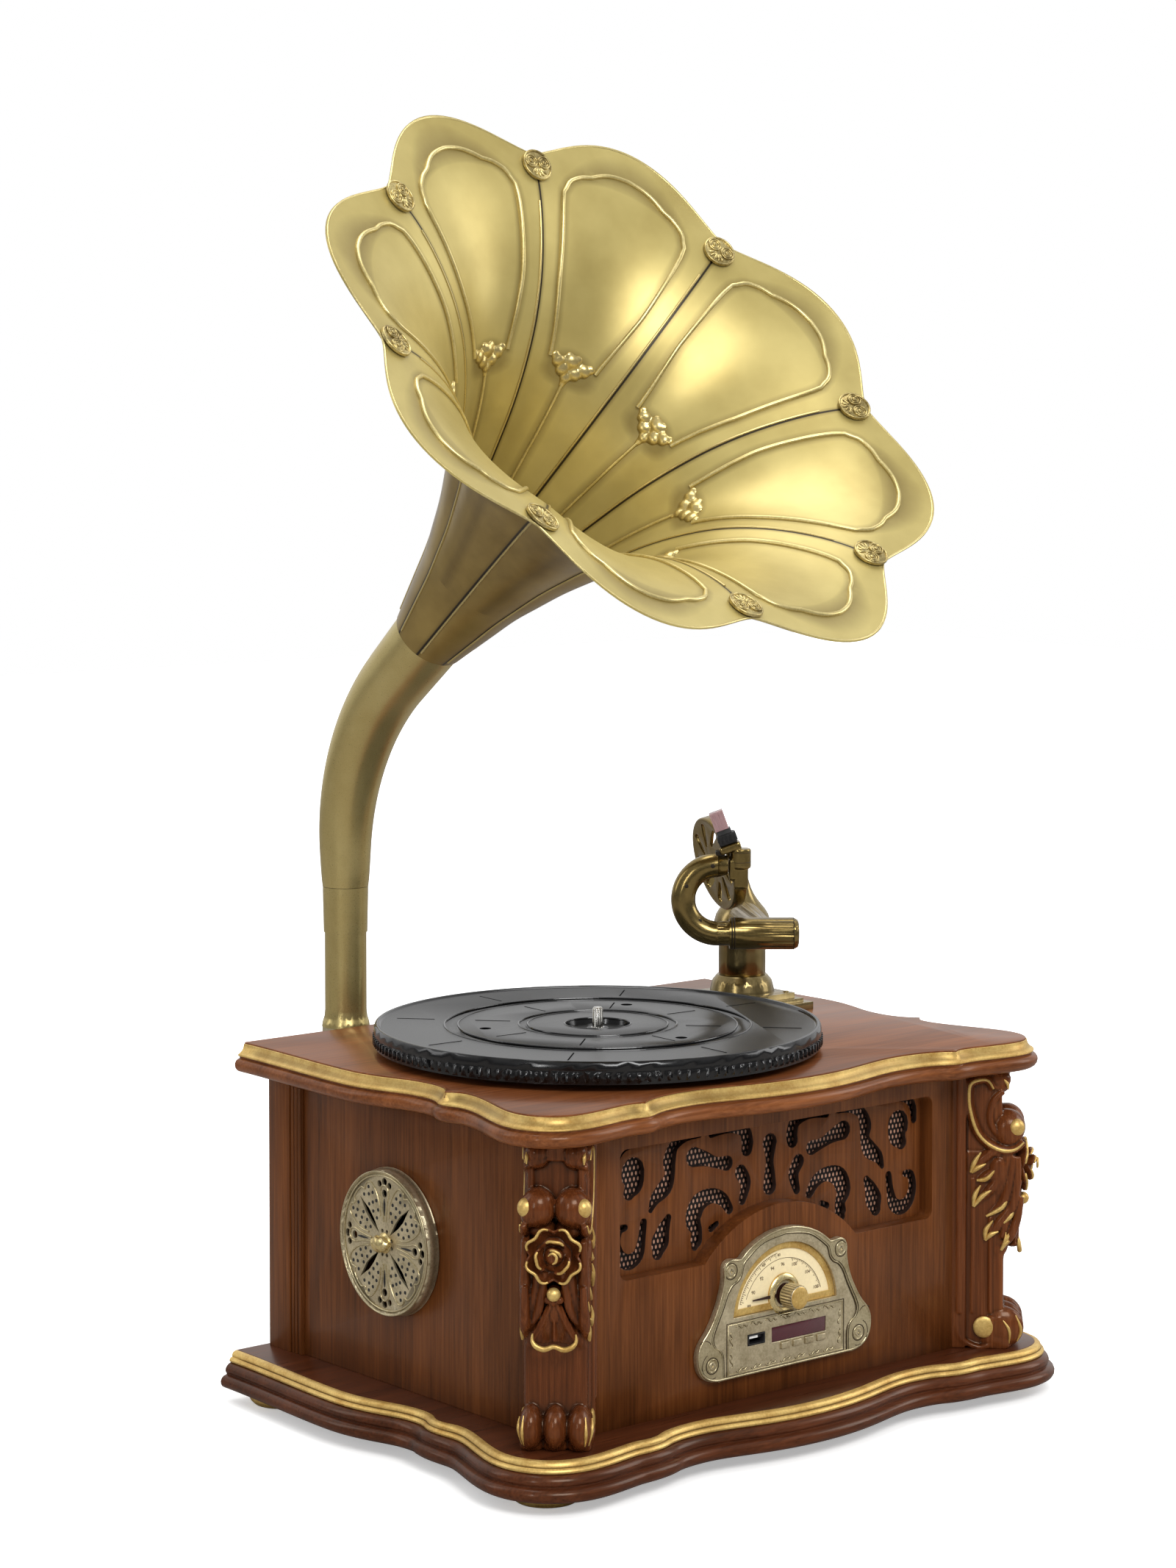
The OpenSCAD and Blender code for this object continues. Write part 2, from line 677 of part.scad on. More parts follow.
module display_window() {
    color([0.22, 0.09, 0.12])
    on_front(display_x, strip_z)
        translate([-display_w / 2, -display_h / 2, 0]) cube([display_w, display_h, plate_t - 0.5]);
}

module plate_screws() {
    color(bronze)
    for (x = [-1, 1])
        for (p = [[x * ear_x, ear_z], [x * lobe_x, lobe_z]])
            on_front(p.x, p.y) difference() {
                union() {
                    translate([0, 0, -8]) cylinder(r = 1.6, h = 8 + plate_t);
                    translate([0, 0, plate_t]) cylinder(r1 = 2.9, r2 = 2.4, h = 1.1);
                }
                for (a = [0, 90])
                    rotate(a) translate([-1.6, -0.3, plate_t + 0.4]) cube([3.2, 0.6, 2]);
            }
}

usb_depth = 14;
module usb_socket() {
    color([0.72, 0.72, 0.74])
    on_front(usb_x, strip_z, plate_t + 0.3) {
        difference() {
            translate([-usb_w / 2, -usb_h / 2, -usb_depth]) cube([usb_w, usb_h, usb_depth]);
            translate([-usb_w / 2 + 1, -usb_h / 2 + 1, -usb_depth + 2])
                cube([usb_w - 2, usb_h - 2, usb_depth]);
        }
    }
    color("white")
    on_front(usb_x, strip_z, plate_t + 0.3)
        translate([-usb_w / 2 + 2, 0.4, -usb_depth + 2]) cube([usb_w - 4, 1.6, usb_depth - 3.5]);
}

knob_back = plate_t + 1.9;
module tuning_knob() {
    color(bronze)
    on_front(0, knob_z) {
        difference() {
            translate([0, 0, knob_back])
                rotate_extrude()
                    polygon([[0, 0], [knob_r, 0], [knob_r, knob_len - 1], [knob_r - 1, knob_len],
                        [0, knob_len]]);
            for (k = [0 : 23])
                rotate(15 * k)
                    translate([knob_r + 0.35, 0, knob_back - 1])
                        cylinder(r = 0.8, h = knob_len - 1.2, $fn = 16);
        }
        translate([0, 0, -front_t - 12]) cylinder(r = shaft_r, h = front_t + 12 + knob_back);
    }
}
pointer_out = face_t + frame_t + 0.4;
pointer_len = dial_z + dial_r - knob_z - 1.5;
module dial_pointer() {
    color([0.25, 0.12, 0.08])
    on_front(0, knob_z, pointer_out)
        linear_extrude(0.6)
            difference() {
                union() {
                    circle(r = 7.5);
                    polygon([[-6, 1.3], [-pointer_len, 0.4], [-pointer_len, -0.4], [-6, -1.3]]);
                }
                circle(r = shaft_r);
            }
}

button_len = plate_t + 1.2;
module button(k) {
    color(bronze)
    on_front(first_button_x + button_pitch * k, button_z)
        translate([-button_w / 2, -button_h / 2, 0]) {
            cube([button_w, button_h, button_len]);
            translate([button_w / 2 - 1.2, button_h / 2 - 1.2, -front_t - 1]) cube([2.4, 2.4, front_t + 1]);
        }
}
module button_1() {
    button(0);
}
module button_2() {
    button(1);
}
module button_3() {
    button(2);
}
module button_4() {
    button(3);
}

board_gap = 14;
board_y = front_y + front_t + board_gap;
module circuit_board() {
    color([0.1, 0.35, 0.18])
    translate([-62, board_y, plate_foot + 4]) cube([124, 1.6, 60]);
    color([0.6, 0.6, 0.62]) {
        on_front(0, knob_z) translate([-9, -9, -front_t - board_gap]) difference() {
            cube([18, 18, 9]);
            translate([9, 9, 1]) cylinder(r = shaft_r + run_fit, h = 10);
        }
        for (x = [-58, 58])
            for (z = [plate_foot + 8, plate_foot + 60])
                translate([x, front_y + front_t, z]) rotate([-90, 0, 0]) cylinder(r = 3, h = board_gap);
    }
    color([0.15, 0.15, 0.15]) {
        for (k = [0 : 3])
            on_front(first_button_x + button_pitch * k, button_z)
                translate([-3, -3, -front_t - board_gap]) cube([6, 6, board_gap - 1 - button_travel - 0.3]);
        on_front(usb_x, strip_z) translate([-usb_w / 2, -usb_h / 2, -front_t - board_gap])
            cube([usb_w, usb_h, board_gap + front_t - usb_depth + plate_t + 0.3]);
        on_front(display_x, strip_z) translate([-display_w / 2 + 2, -display_h / 2, -front_t - board_gap])
            cube([display_w - 4, display_h, board_gap + front_t]);
    }
}

speaker_r = 38;
speaker_x = 92;
speaker_z = (recess_top + recess_foot) / 2;
speaker_y = front_y + front_t + fret_t + mesh_gap + 1.2;
module speakers() {
    color([0.14, 0.14, 0.15])
    for (x = [-speaker_x, speaker_x])
        translate([x, speaker_y, speaker_z]) rotate([-90, 0, 0])
            rotate_extrude()
                polygon([[speaker_r, 0], [speaker_r, 3], [22, 22], [22, 36], [0, 36], [0, 24], [12, 22],
                    [speaker_r - 3, 2], [speaker_r - 3, 0]]);
}

module transformer() {
    color([0.5, 0.5, 0.52])
    translate([70, 70, floor_z]) {
        cube([52, 44, 40]);
        translate([-8, 10, 0]) cube([68, 24, 3]);
    }
    color([0.7, 0.4, 0.15])
    translate([78, 60, floor_z + 8]) cube([36, 64, 24]);
}

module terminal_plate() {
    color([0.1, 0.1, 0.1])
    difference() {
        translate([-terminal_w / 2, back_y, terminal_z]) cube([terminal_w, 2, terminal_h]);
        translate([-30, back_y - 1, terminal_z + 12]) cube([22, 4, 20]);
        for (k = [0, 1])
            translate([8 + 16 * k, back_y - 1, terminal_z + 23]) rotate([-90, 0, 0]) cylinder(r = 4, h = 4);
    }
    color([0.08, 0.08, 0.08])
    difference() {
        translate([-32, back_y - 18, terminal_z + 10]) cube([26, 18, 24]);
        translate([-29, back_y - 14, terminal_z + 13]) cube([20, 15, 18]);
    }
    color([0.7, 0.7, 0.72])
    for (x = [-22.5, -15.5])
        translate([x, back_y - 15, terminal_z + 22]) rotate([-90, 0, 0]) cylinder(r = 1.2, h = 11);
    color([0.75, 0.72, 0.6])
    for (k = [0, 1])
        translate([8 + 16 * k, back_y - 10, terminal_z + 23]) rotate([-90, 0, 0])
            difference() {
                cylinder(r = 4, h = 20);
                translate([0, 0, 11]) cylinder(r = 1.7, h = 10);
            }
}

// Platter, its spindle and the drive under it
ring_z = top_z + platter_gap + platter_h + 2;
plate_z = ring_z - 1.5;
skirt_z = top_z + platter_gap;
shank_out = spindle_r + spindle_step;
bearing_r = shank_out + run_fit;
hub_top = plate_z - 2.4;
bearing_top = top_z + 3;
ring_out = platter_r - 3;
groove = [95, 103];
inner_groove = [48, 53];
hub_r = 22;
module platter() {
    color([0.07, 0.07, 0.075])
    translate([platter_x, platter_y, 0])
        difference() {
            rotate_extrude($fn = 180)
                polygon([
                    [shank_out, bearing_top + side_gap], [9, bearing_top + side_gap], [9, plate_z - 8],
                    [belt_ring_r - 3, plate_z - 4], [belt_ring_r - 3, skirt_z + 1],
                    [belt_ring_r, skirt_z + 1],
                    [belt_ring_r, plate_z - 4], [platter_r - 8, plate_z - 4], [platter_r - 6, skirt_z],
                    [platter_r - 1.6, skirt_z], [platter_r - 1.6, skirt_z + 2],
                    [platter_r - 0.8, plate_z - 4],
                    [platter_r - 0.8, plate_z - 1], [ring_out + 1.4, ring_z - 0.4], [ring_out + 1, ring_z],
                    [ring_out - 1, ring_z], [ring_out - 1.4, ring_z - 0.4], [ring_out - 2.4, plate_z],
                    [groove[1] + 1, plate_z],
                    [groove[1], plate_z - 1.4], [groove[0], plate_z - 1.4], [groove[0] - 1, plate_z],
                    [inner_groove[1] + 1, plate_z], [inner_groove[1], plate_z - 0.9],
                    [inner_groove[0], plate_z - 0.9], [inner_groove[0] - 1, plate_z], [hub_r + 1, plate_z],
                    [hub_r, plate_z - 4], [8, plate_z - 4], [7, hub_top], [shank_out, hub_top]]);
            for (a = [35, 155, 275])
                rotate(a) translate([78, 0, plate_z - 6]) cylinder(r = 4, h = 10);
        }
    color([0.06, 0.06, 0.065])
    translate([platter_x, platter_y, skirt_z + 2])
        for (k = [0 : platter_teeth - 1])
            rotate(360 * k / platter_teeth)
                translate([platter_r - 2, -0.8, 0]) cube([2, 1.6, 5.5]);
}

spindle_foot = under_top - 8;
module spindle() {
    color([0.78, 0.77, 0.74])
    translate([platter_x, platter_y, 0])
        rotate_extrude()
            polygon([[0, spindle_foot + 2], [shank_out, spindle_foot + 2], [shank_out, hub_top],
                [spindle_r, hub_top], [spindle_r, ring_z + spindle_up - 1.5],
                [spindle_r - 1, ring_z + spindle_up - 0.3], [0, ring_z + spindle_up]]);
}

module bearing_housing() {
    color([0.62, 0.55, 0.32])
    translate([platter_x, platter_y, 0])
        rotate_extrude()
            polygon([[0, spindle_foot - 2], [bearing_hole_r, spindle_foot - 2], [bearing_hole_r, top_z],
                [18, top_z], [18, bearing_top - 1], [9, bearing_top], [bearing_r, bearing_top],
                [bearing_r, spindle_foot + 1.8], [0, spindle_foot + 1.8]]);
}

motor_shaft_r = 1;
pulley_z = skirt_z + 1.5;
pulley_h = 6;
module motor() {
    color([0.66, 0.67, 0.68])
    translate([motor_x, motor_y, 0]) {
        translate([0, 0, under_top - 32]) cylinder(r = motor_r, h = 30);
        translate([0, 0, under_top - 2]) difference() {
            translate([-motor_r - 8, -10, 0]) cube([2 * motor_r + 16, 20, 2]);
            for (x = [-1, 1]) translate([x * (motor_r + 4), 0, -1]) cylinder(r = 1.6, h = 4);
        }
        translate([0, 0, under_top - 2])
            cylinder(r = motor_shaft_r, h = pulley_z + pulley_h + 3 - under_top);
    }
}

module motor_pulley() {
    color([0.75, 0.65, 0.35])
    translate([motor_x, motor_y, 0])
        rotate_extrude()
            polygon([[motor_shaft_r + run_fit, pulley_z - 1.5], [pulley_r + 1, pulley_z - 1.5],
                [pulley_r + 1, pulley_z - 0.5], [pulley_r, pulley_z - 0.3],
                [pulley_r, pulley_z + pulley_h - 1.2],
                [pulley_r + 1, pulley_z + pulley_h - 1], [pulley_r + 1, pulley_z + pulley_h - 0.4],
                [motor_shaft_r + run_fit, pulley_z + pulley_h - 0.4]]);
}

belt_t = 0.9;
belt_h = 4;
module belt_shape(grow) {
    a = [0, 0, belt_ring_r + grow];
    b = [motor_dist, 0, pulley_r + grow];
    link(a, b);
}
module drive_belt() {
    color([0.05, 0.05, 0.05])
    translate([platter_x, platter_y, pulley_z + 0.2])
        rotate(45)
            linear_extrude(belt_h, $fn = 120)
                difference() {
                    belt_shape(side_gap + belt_t);
                    belt_shape(side_gap);
                }
}

// Tonearm. Its own frame: x along the arm, y to the right of it as seen from its tip, z up
module at_arm() {
    translate([post_x, post_y, 0]) rotate(arm_heading) children();
}
step_z = top_z + 8;
base_top = step_z + 4;
collar_top = base_top + 13;
module arm_base() {
    color(bronze)
    translate([post_x, post_y, 0]) {
        difference() {
            union() {
                translate([-arm_base_w / 2, -arm_base_w / 2, top_z]) cube([arm_base_w, arm_base_w, 5.5]);
                translate([-arm_base_w / 2 + 5, -arm_base_w / 2 + 5, top_z + 5.5])
                    cube([arm_base_w - 10, arm_base_w - 10, 2.5]);
                translate([-arm_base_w / 2 + 9.5, -arm_base_w / 2 + 9.5, step_z])
                    cube([arm_base_w - 19, arm_base_w - 19, 4]);
                translate([0, 0, base_top])
                    rotate_extrude()
                        polygon([[0, 0], [post_r + 7.5, 0], [post_r + 7, 3], [post_r + 5.5, 9],
                            [post_r + 3, 12], [post_r + 2.2, 13], [0, 13]]);
            }
            translate([0, 0, top_z - 1]) cylinder(r = pivot_r, h = collar_top - top_z + 2);
        }
        for (x = [-1, 1])
            for (y = [-1, 1])
                translate([x * (arm_base_w / 2 - 14), y * (arm_base_w / 2 - 14), base_top])
                    cylinder(r1 = 2.4, r2 = 1.8, h = 1);
    }
}

arm_z = top_z + arm_lift;
hub_z = arm_z - 10;
pin_top = hub_z - 6;
module arm_pivot_pin() {
    color([0.7, 0.7, 0.7])
    translate([post_x, post_y, top_z]) cylinder(r = pivot_r, h = pin_top - top_z);
}

post_foot = collar_top + side_gap;
module arm_post() {
    color(bronze)
    translate([post_x, post_y, 0])
        rotate_extrude()
            polygon([[pivot_r + run_fit, post_foot], [post_r, post_foot], [post_r, hub_z - 30],
                [post_r + 0.6, hub_z - 22], [post_r + 2.5, hub_z - 14], [post_r + 4, hub_z - 8],
                [post_r + 4, hub_z + 8], [post_r + 2, hub_z + 12], [post_r - 3, hub_z + 17],
                [post_r - 8, hub_z + 22], [post_r - 10.5, hub_z + 28], [4, hub_z + 34], [0, hub_z + 36],
                [0, pin_top + 0.5], [pivot_r + run_fit, pin_top + 0.5]]);
}

// The arm's tube is a cone from the hub to the back of the socket
socket_y = 10.3;
tube_start = post_r + 2;
tube_angle = atan2(socket_y, arm_reach);
tube_rise = atan2(arm_z - hub_z, arm_reach);
tube_len = norm([arm_reach, socket_y, arm_z - hub_z]);
module arm_tube() {
    color(bronze)
    difference() {
        at_arm()
            translate([0, 0, hub_z])
                rotate([0, 0, tube_angle])
                    rotate([0, 90 - tube_rise, 0])
                        translate([0, 0, tube_start])
                            cylinder(r1 = 12, r2 = 8.4, h = tube_len - tube_start - 5);
        translate([post_x, post_y, hub_z - 10]) cylinder(r = post_r + 4, h = 30);
        at_arm()
            translate([arm_reach, socket_y, arm_z])
                rotate([90, 0, 0]) cylinder(r = socket_r, h = socket_len + 10, center = true);
    }
}

stub_r = 7;
stub_len = socket_len - 8;
module arm_socket() {
    color(bronze)
    at_arm()
        translate([arm_reach, socket_y, arm_z])
            rotate([-90, 0, 0])
                translate([0, 0, -socket_len / 2])
                    rotate_extrude()
                        polygon([[stub_r + run_fit, 0], [socket_r, 0], [socket_r, socket_len - 4],
                            [socket_r - 0.4, socket_len - 3.8], [socket_r - 0.4, socket_len - 3],
                            [socket_r - 1.6, socket_len - 0.8], [socket_r - 4, socket_len], [0, socket_len],
                            [0, socket_len - 6], [stub_r + run_fit, socket_len - 6]]);
}

// Gooseneck: a stub in the socket, two rings, a half turn and a tapered end at the barrel
neck_start = socket_y - socket_len / 2;
neck_straight = 8;
neck_top = arm_z + 2 * neck_bend;
module gooseneck() {
    color(bronze)
    at_arm() {
        translate([arm_reach, neck_start, arm_z]) rotate([-90, 0, 0]) {
            translate([0, 0, -4]) cylinder(r = stub_r, h = stub_len + 4);
            translate([0, 0, -1.4]) cylinder(r = socket_r - 0.2, h = 1.2);
            translate([0, 0, -3.4]) cylinder(r = socket_r - 0.4, h = 1.4);
            translate([0, 0, -3.4 - neck_straight]) cylinder(r = neck_r, h = neck_straight + 0.2);
        }
        translate([arm_reach, neck_start - 3.4 - neck_straight, arm_z + neck_bend])
            rotate([90, 0, 90])
                rotate([0, 0, 90])
                    rotate_extrude(angle = 180, $fn = 96)
                        translate([neck_bend, 0]) circle(r = neck_r);
        translate([arm_reach, neck_start - 3.6 - neck_straight, neck_top])
            rotate([-90, 0, 0]) cylinder(r1 = neck_r, r2 = neck_r - 2, h = 7.1);
    }
}

// Sound box: an open drum with a slotted face, held by its rim beside the barrel
box_back = 35;
box_lean = 76.1;
box_turn = 111;
box_t = 3;
drum_t = 9;
drum_wall = 2.6;
module at_box() {
    at_arm() translate([arm_reach - box_back, neck_start - 13.2, neck_top - 3.9])
        rotate([0, box_lean, box_turn]) children();
}
module sound_box() {
    color(bronze)
    at_box()
        difference() {
            union() {
                rotate_extrude($fn = 96)
                    polygon([[0, 0.6], [box_r - 5, 0.6], [box_r - 3, 0], [box_r - 0.8, 0],
                        [box_r, 0.8], [box_r, drum_t], [box_r - drum_wall, drum_t],
                        [box_r - drum_wall, box_t], [0, box_t]]);
                translate([0, 0, -1.5]) cylinder(r = 7, h = 3);
            }
            for (k = [0 : 8])
                rotate(40 * k) translate([0, 0, -1])
                    linear_extrude(box_t + 2)
                        slot([[box_r * 0.43, -2, 1.5], [box_r * 0.6, 0.6, 2.4], [box_r * 0.77, 4, 3]]);
        }
}

// Barrel at the end of the gooseneck, a block down to the drum's rim and a seat for the cartridge
barrel_r = 6.6;
barrel_h = 14;
barrel_y = neck_start + 4.3;
head_lean = 20;
module at_head() {
    at_arm() translate([arm_reach, neck_start - 3.3, neck_top + 15.2])
        rotate([head_lean, 0, 0]) children();
}
module sound_box_bracket() {
    color(bronze)
    difference() {
        union() {
            at_arm() {
                translate([arm_reach, barrel_y, neck_top - 2.2]) cylinder(r = barrel_r, h = barrel_h);
                translate([arm_reach - 8, barrel_y - 5.5, neck_top - 17]) cube([14, 11, 18]);
                translate([arm_reach - 6, barrel_y - 8.5, neck_top - 11]) cube([12, 8, 16]);
            }
            at_head() translate([-7, -8.5, -6]) cube([14, 15.5, 5.7]);
        }
        at_box() translate([0, 0, -1]) cylinder(r = box_r + 0.3, h = drum_t + 1.3);
    }
}

module cartridge() {
    color([0.05, 0.05, 0.05])
    at_head() {
        translate([-6, -7, 0]) cube([12, 12.5, 7]);
        translate([-5.3, -6, 6.9]) cube([10.6, 10, 3.2]);
    }
}
module stylus() {
    color([0.75, 0.1, 0.15])
    at_head() {
        translate([-4, -4, 10.4]) cube([8, 3.4, 4.1]);
        translate([-0.5, -2.8, 14.4]) cube([1, 1, 3.1]);
        translate([0, -2.3, 17.4]) cylinder(r1 = 0.5, r2 = 0.15, h = 1.2);
    }
}
module stylus_guard() {
    color([0.9, 0.72, 0.75, 0.6])
    at_head() translate([-5.5, -6.6, 10.3])
        difference() {
            cube([11, 9.6, 13]);
            translate([1.2, 1.2, -1]) cube([8.6, 6.4, 12.6]);
        }
}

// Horn: the bracket behind the cabinet, the stem, the collar, the elbow and the bell
stem_y = board_back + stem_r + 3.3;
collar_z = top_z + collar_up;
collar_end = collar_z + collar_h;
shank_r = stem_r - 1.5;
stem_bore = stem_r - 2.7;
bracket_low = under_top - 60;
bracket_high = top_z - 2;
module horn_bracket() {
    color(bronze)
    difference() {
        union() {
            translate([stem_x - 30, back_y, bracket_low]) cube([60, 4, under_top - bracket_low - 4]);
            translate([stem_x - 8, back_y + 4, bracket_low + 8])
                cube([16, stem_y - back_y - 4, under_top - bracket_low - 16]);
            translate([stem_x, stem_y, bracket_low])
                cylinder(r = stem_r + 2, h = bracket_high - bracket_low);
        }
        translate([stem_x, stem_y, bracket_low + 4])
            cylinder(r = shank_r + set_gap, h = bracket_high - bracket_low);
        for (x = [-22, 22])
            for (z = [bracket_low + 9, under_top - 13])
                translate([stem_x + x, back_y - 1, z]) rotate([-90, 0, 0]) cylinder(r = 2.2, h = 6);
    }
    color([0.6, 0.6, 0.6])
    for (x = [-22, 22])
        for (z = [bracket_low + 9, under_top - 13])
            translate([stem_x + x, back_y, z]) rotate([-90, 0, 0]) {
                cylinder(r = 2.2, h = 4);
                translate([0, 0, 4]) cylinder(r1 = 4, r2 = 3, h = 2);
            }
}

module horn_stem() {
    color(brass)
    translate([stem_x, stem_y, 0])
        rotate_extrude()
            polygon([[stem_bore, bracket_low + 4], [shank_r, bracket_low + 4], [shank_r, bracket_high],
                [stem_r + 2.2, bracket_high], [stem_r + 1.8, bracket_high + 3],
                [stem_r + 0.5, bracket_high + 7],
                [stem_r, bracket_high + 12], [stem_r, collar_z + 10], [stem_bore, collar_z + 10]]);
}

spigot_r = stem_r - 1.7;
module horn_collar() {
    color(brass)
    translate([stem_x, stem_y, 0])
        rotate_extrude()
            polygon([[stem_r, collar_z], [stem_r + 0.7, collar_z], [stem_r + 1.3, collar_end - 4],
                [stem_r + 1.3, collar_end], [spigot_r + run_fit, collar_end],
                [spigot_r + run_fit, collar_z + 10],
                [stem_r, collar_z + 10]]);
}

elbow_r = stem_r + 1.7;
flange_z = collar_end + side_gap;
elbow_z = flange_z + 2.2;
module horn_spigot() {
    color(brass)
    translate([stem_x, stem_y, 0])
        rotate_extrude()
            polygon([[spigot_r - horn_wall, collar_z + 11], [spigot_r, collar_z + 11], [spigot_r, flange_z],
                [elbow_r - 0.2, flange_z], [elbow_r, elbow_z], [spigot_r - horn_wall, elbow_z]]);
}

module at_horn() {
    translate([stem_x, stem_y, 0]) rotate(horn_yaw - 90) children();
}
elbow_straight = 24;
elbow_end = 46.5;
elbow_turn = 90 - horn_tilt;
elbow_arc = elbow_bend * elbow_turn * PI / 180;
elbow_len = elbow_straight + elbow_arc + elbow_end;
elbow_rings = 14;
elbow_sides = 28;
elbow_flare = 0.75;
// Centre line of the elbow at a distance along it, as [forward, up, slope from upright]
function elbow_at(s) = s < elbow_straight ? [0, elbow_z + s, 0]
    : s < elbow_straight + elbow_arc
    ? let (a = (s - elbow_straight) / elbow_arc * elbow_turn)
        [elbow_bend * (1 - cos(a)), elbow_z + elbow_straight + elbow_bend * sin(a), a]
    : let (e = s - elbow_straight - elbow_arc)
        [elbow_bend * (1 - cos(elbow_turn)) + e * sin(elbow_turn),
         elbow_z + elbow_straight + elbow_bend * sin(elbow_turn) + e * cos(elbow_turn), elbow_turn];
function elbow_radius(s) = elbow_r + (neck_joint_r - elbow_r) * pow(s / elbow_len, elbow_flare);
function elbow_ring(s, r) = let (c = elbow_at(s))
    [for (i = [0 : elbow_sides - 1]) let (a = 360 * i / elbow_sides)
        [c[0] + r * cos(a) * cos(c[2]), r * sin(a), c[1] - r * cos(a) * sin(c[2])]];
// A closed loop of rings: out along the outer skin and back along the inner one
module tube_shell(rings) {
    n = len(rings[0]);
    m = len(rings);
    polyhedron(
        points = [for (r = rings) for (p = r) p],
        faces = [for (k = [0 : m - 1]) for (i = [0 : n - 1]) for (half = [0, 1]) let (
                j = (i + 1) % n, q = (k + 1) % m)
            half == 0 ? [k * n + i, q * n + j, k * n + j] : [k * n + i, q * n + i, q * n + j]],
        convexity = 8);
}
module horn_elbow() {
    color(brass)
    at_horn()
        tube_shell(concat(
            [for (k = [elbow_rings : -1 : 0]) let (s = elbow_len * k / elbow_rings)
                elbow_ring(s, elbow_radius(s))],
            [for (k = [0 : elbow_rings]) let (s = elbow_len * k / elbow_rings)
                elbow_ring(s, elbow_radius(s) - horn_wall)]));
}

// Bell. Rows of its profile: share of the way back from the medallions, and share of their radius
bell_profile = [
    [1, 0.1323], [0.93, 0.1535], [0.86, 0.175], [0.77, 0.203], [0.68, 0.238], [0.59, 0.275],
    [0.505, 0.318], [0.42, 0.365], [0.345, 0.417], [0.275, 0.477], [0.21, 0.545], [0.15, 0.627],
    [0.1, 0.715], [0.055, 0.815], [0.022, 0.91], [0, 1]
];
petal_steps = 8;
bell_sides = petals * petal_steps;
petal_swell = 6;
notch_out = 11;
bell_roll = -8;
function petal_wave(i) = pow(sin(180 * (i % petal_steps) / petal_steps), 1.4);
function swell_at(share) = petal_swell * min(1, max(0, (0.78 - share) / 0.6));
// A row of the bell: [distance along the axis, radius at a seam, extra at mid petal, extra forward]
bell_rows = concat(
    [for (p = bell_profile)
        [bell_len * (1 - p[0]), p[0] == 1 ? neck_joint_r : bell_r * p[1], swell_at(p[0]), 0]],
    [[bell_len + 1.2, bell_r + notch_out / 2, petal_swell + (petal_out - notch_out) / 2 - 2, 2],
     [bell_len + 2.5, bell_r + notch_out, petal_out - notch_out, 5]]);
function bell_point(z, r, i) = let (a = bell_roll + 360 * i / bell_sides) [r * cos(a), r * sin(a), z];
function bell_inner(row) = [for (i = [0 : bell_sides - 1]) let (w = petal_wave(i))
    bell_point(row[0] + row[3] * w, row[1] + row[2] * w, i)];
function row_slope(k) = let (
        a = bell_rows[max(0, k - 1)],
        b = bell_rows[min(len(bell_rows) - 1, k + 1)],
        d = [b[0] - a[0], b[1] - a[1]])
    d / norm(d);
function bell_outer(k) = let (row = bell_rows[k], d = row_slope(k))
    [for (i = [0 : bell_sides - 1]) let (w = petal_wave(i))
        bell_point(row[0] + row[3] * w - horn_wall * d.y, row[1] + row[2] * w + horn_wall * d.x, i)];
seam_at = elbow_at(elbow_len);
module at_bell() {
    at_horn() translate([seam_at[0], 0, seam_at[1]]) rotate([0, elbow_turn, 0]) children();
}
module horn_bell() {
    color(brass)
    at_bell()
        difference() {
            tube_shell(concat(
                [for (k = [len(bell_rows) - 1 : -1 : 0]) bell_outer(k)],
                [for (k = [0 : len(bell_rows) - 1]) bell_inner(bell_rows[k])]));
            translate([0, 0, -4]) cube([120, 120, 8], center = true);
        }
}

medallion_r = 12;
module horn_medallions() {
    color(brass)
    at_bell()
        for (k = [0 : petals - 1])
            rotate(bell_roll + 360 * k / petals)
                translate([bell_r + 0.5, 0, bell_len + 0.9])
                    rotate([0, -14, 0]) {
                        cylinder(r = medallion_r, h = 1.4);
                        translate([0, 0, -3.6]) cylinder(r = 2, h = 4);
                    }
}

feet();
base_board();
front_panel();
left_panel();
right_panel();
back_panel();
rear_posts();
left_corner_column();
right_corner_column();
top_board();
fretwork_panel();
speaker_mesh();
left_vent();
right_vent();
left_vent_finial();
right_vent_finial();
control_plate();
dial_face();
dial_frame();
display_window();
plate_screws();
usb_socket();
tuning_knob();
dial_pointer();
button_1();
button_2();
button_3();
button_4();
circuit_board();
speakers();
transformer();
terminal_plate();
motor();
motor_pulley();
drive_belt();
bearing_housing();
platter();
spindle();
arm_base();
arm_pivot_pin();
arm_post();
arm_tube();
arm_socket();
gooseneck();
sound_box();
sound_box_bracket();
cartridge();
stylus();
stylus_guard();
horn_bracket();
horn_stem();
horn_collar();
horn_spigot();
horn_elbow();
horn_bell();
horn_medallions();
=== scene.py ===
# %% [markdown]
# # A table record player with a flower horn
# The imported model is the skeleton: it says where every piece is and which body it moves with.
# Each cell below dresses one part of it, in the order in which a maker would finish them.

# %% Load the frame
import json
import math

import bmesh
import bpy
from mathutils import Matrix, Vector

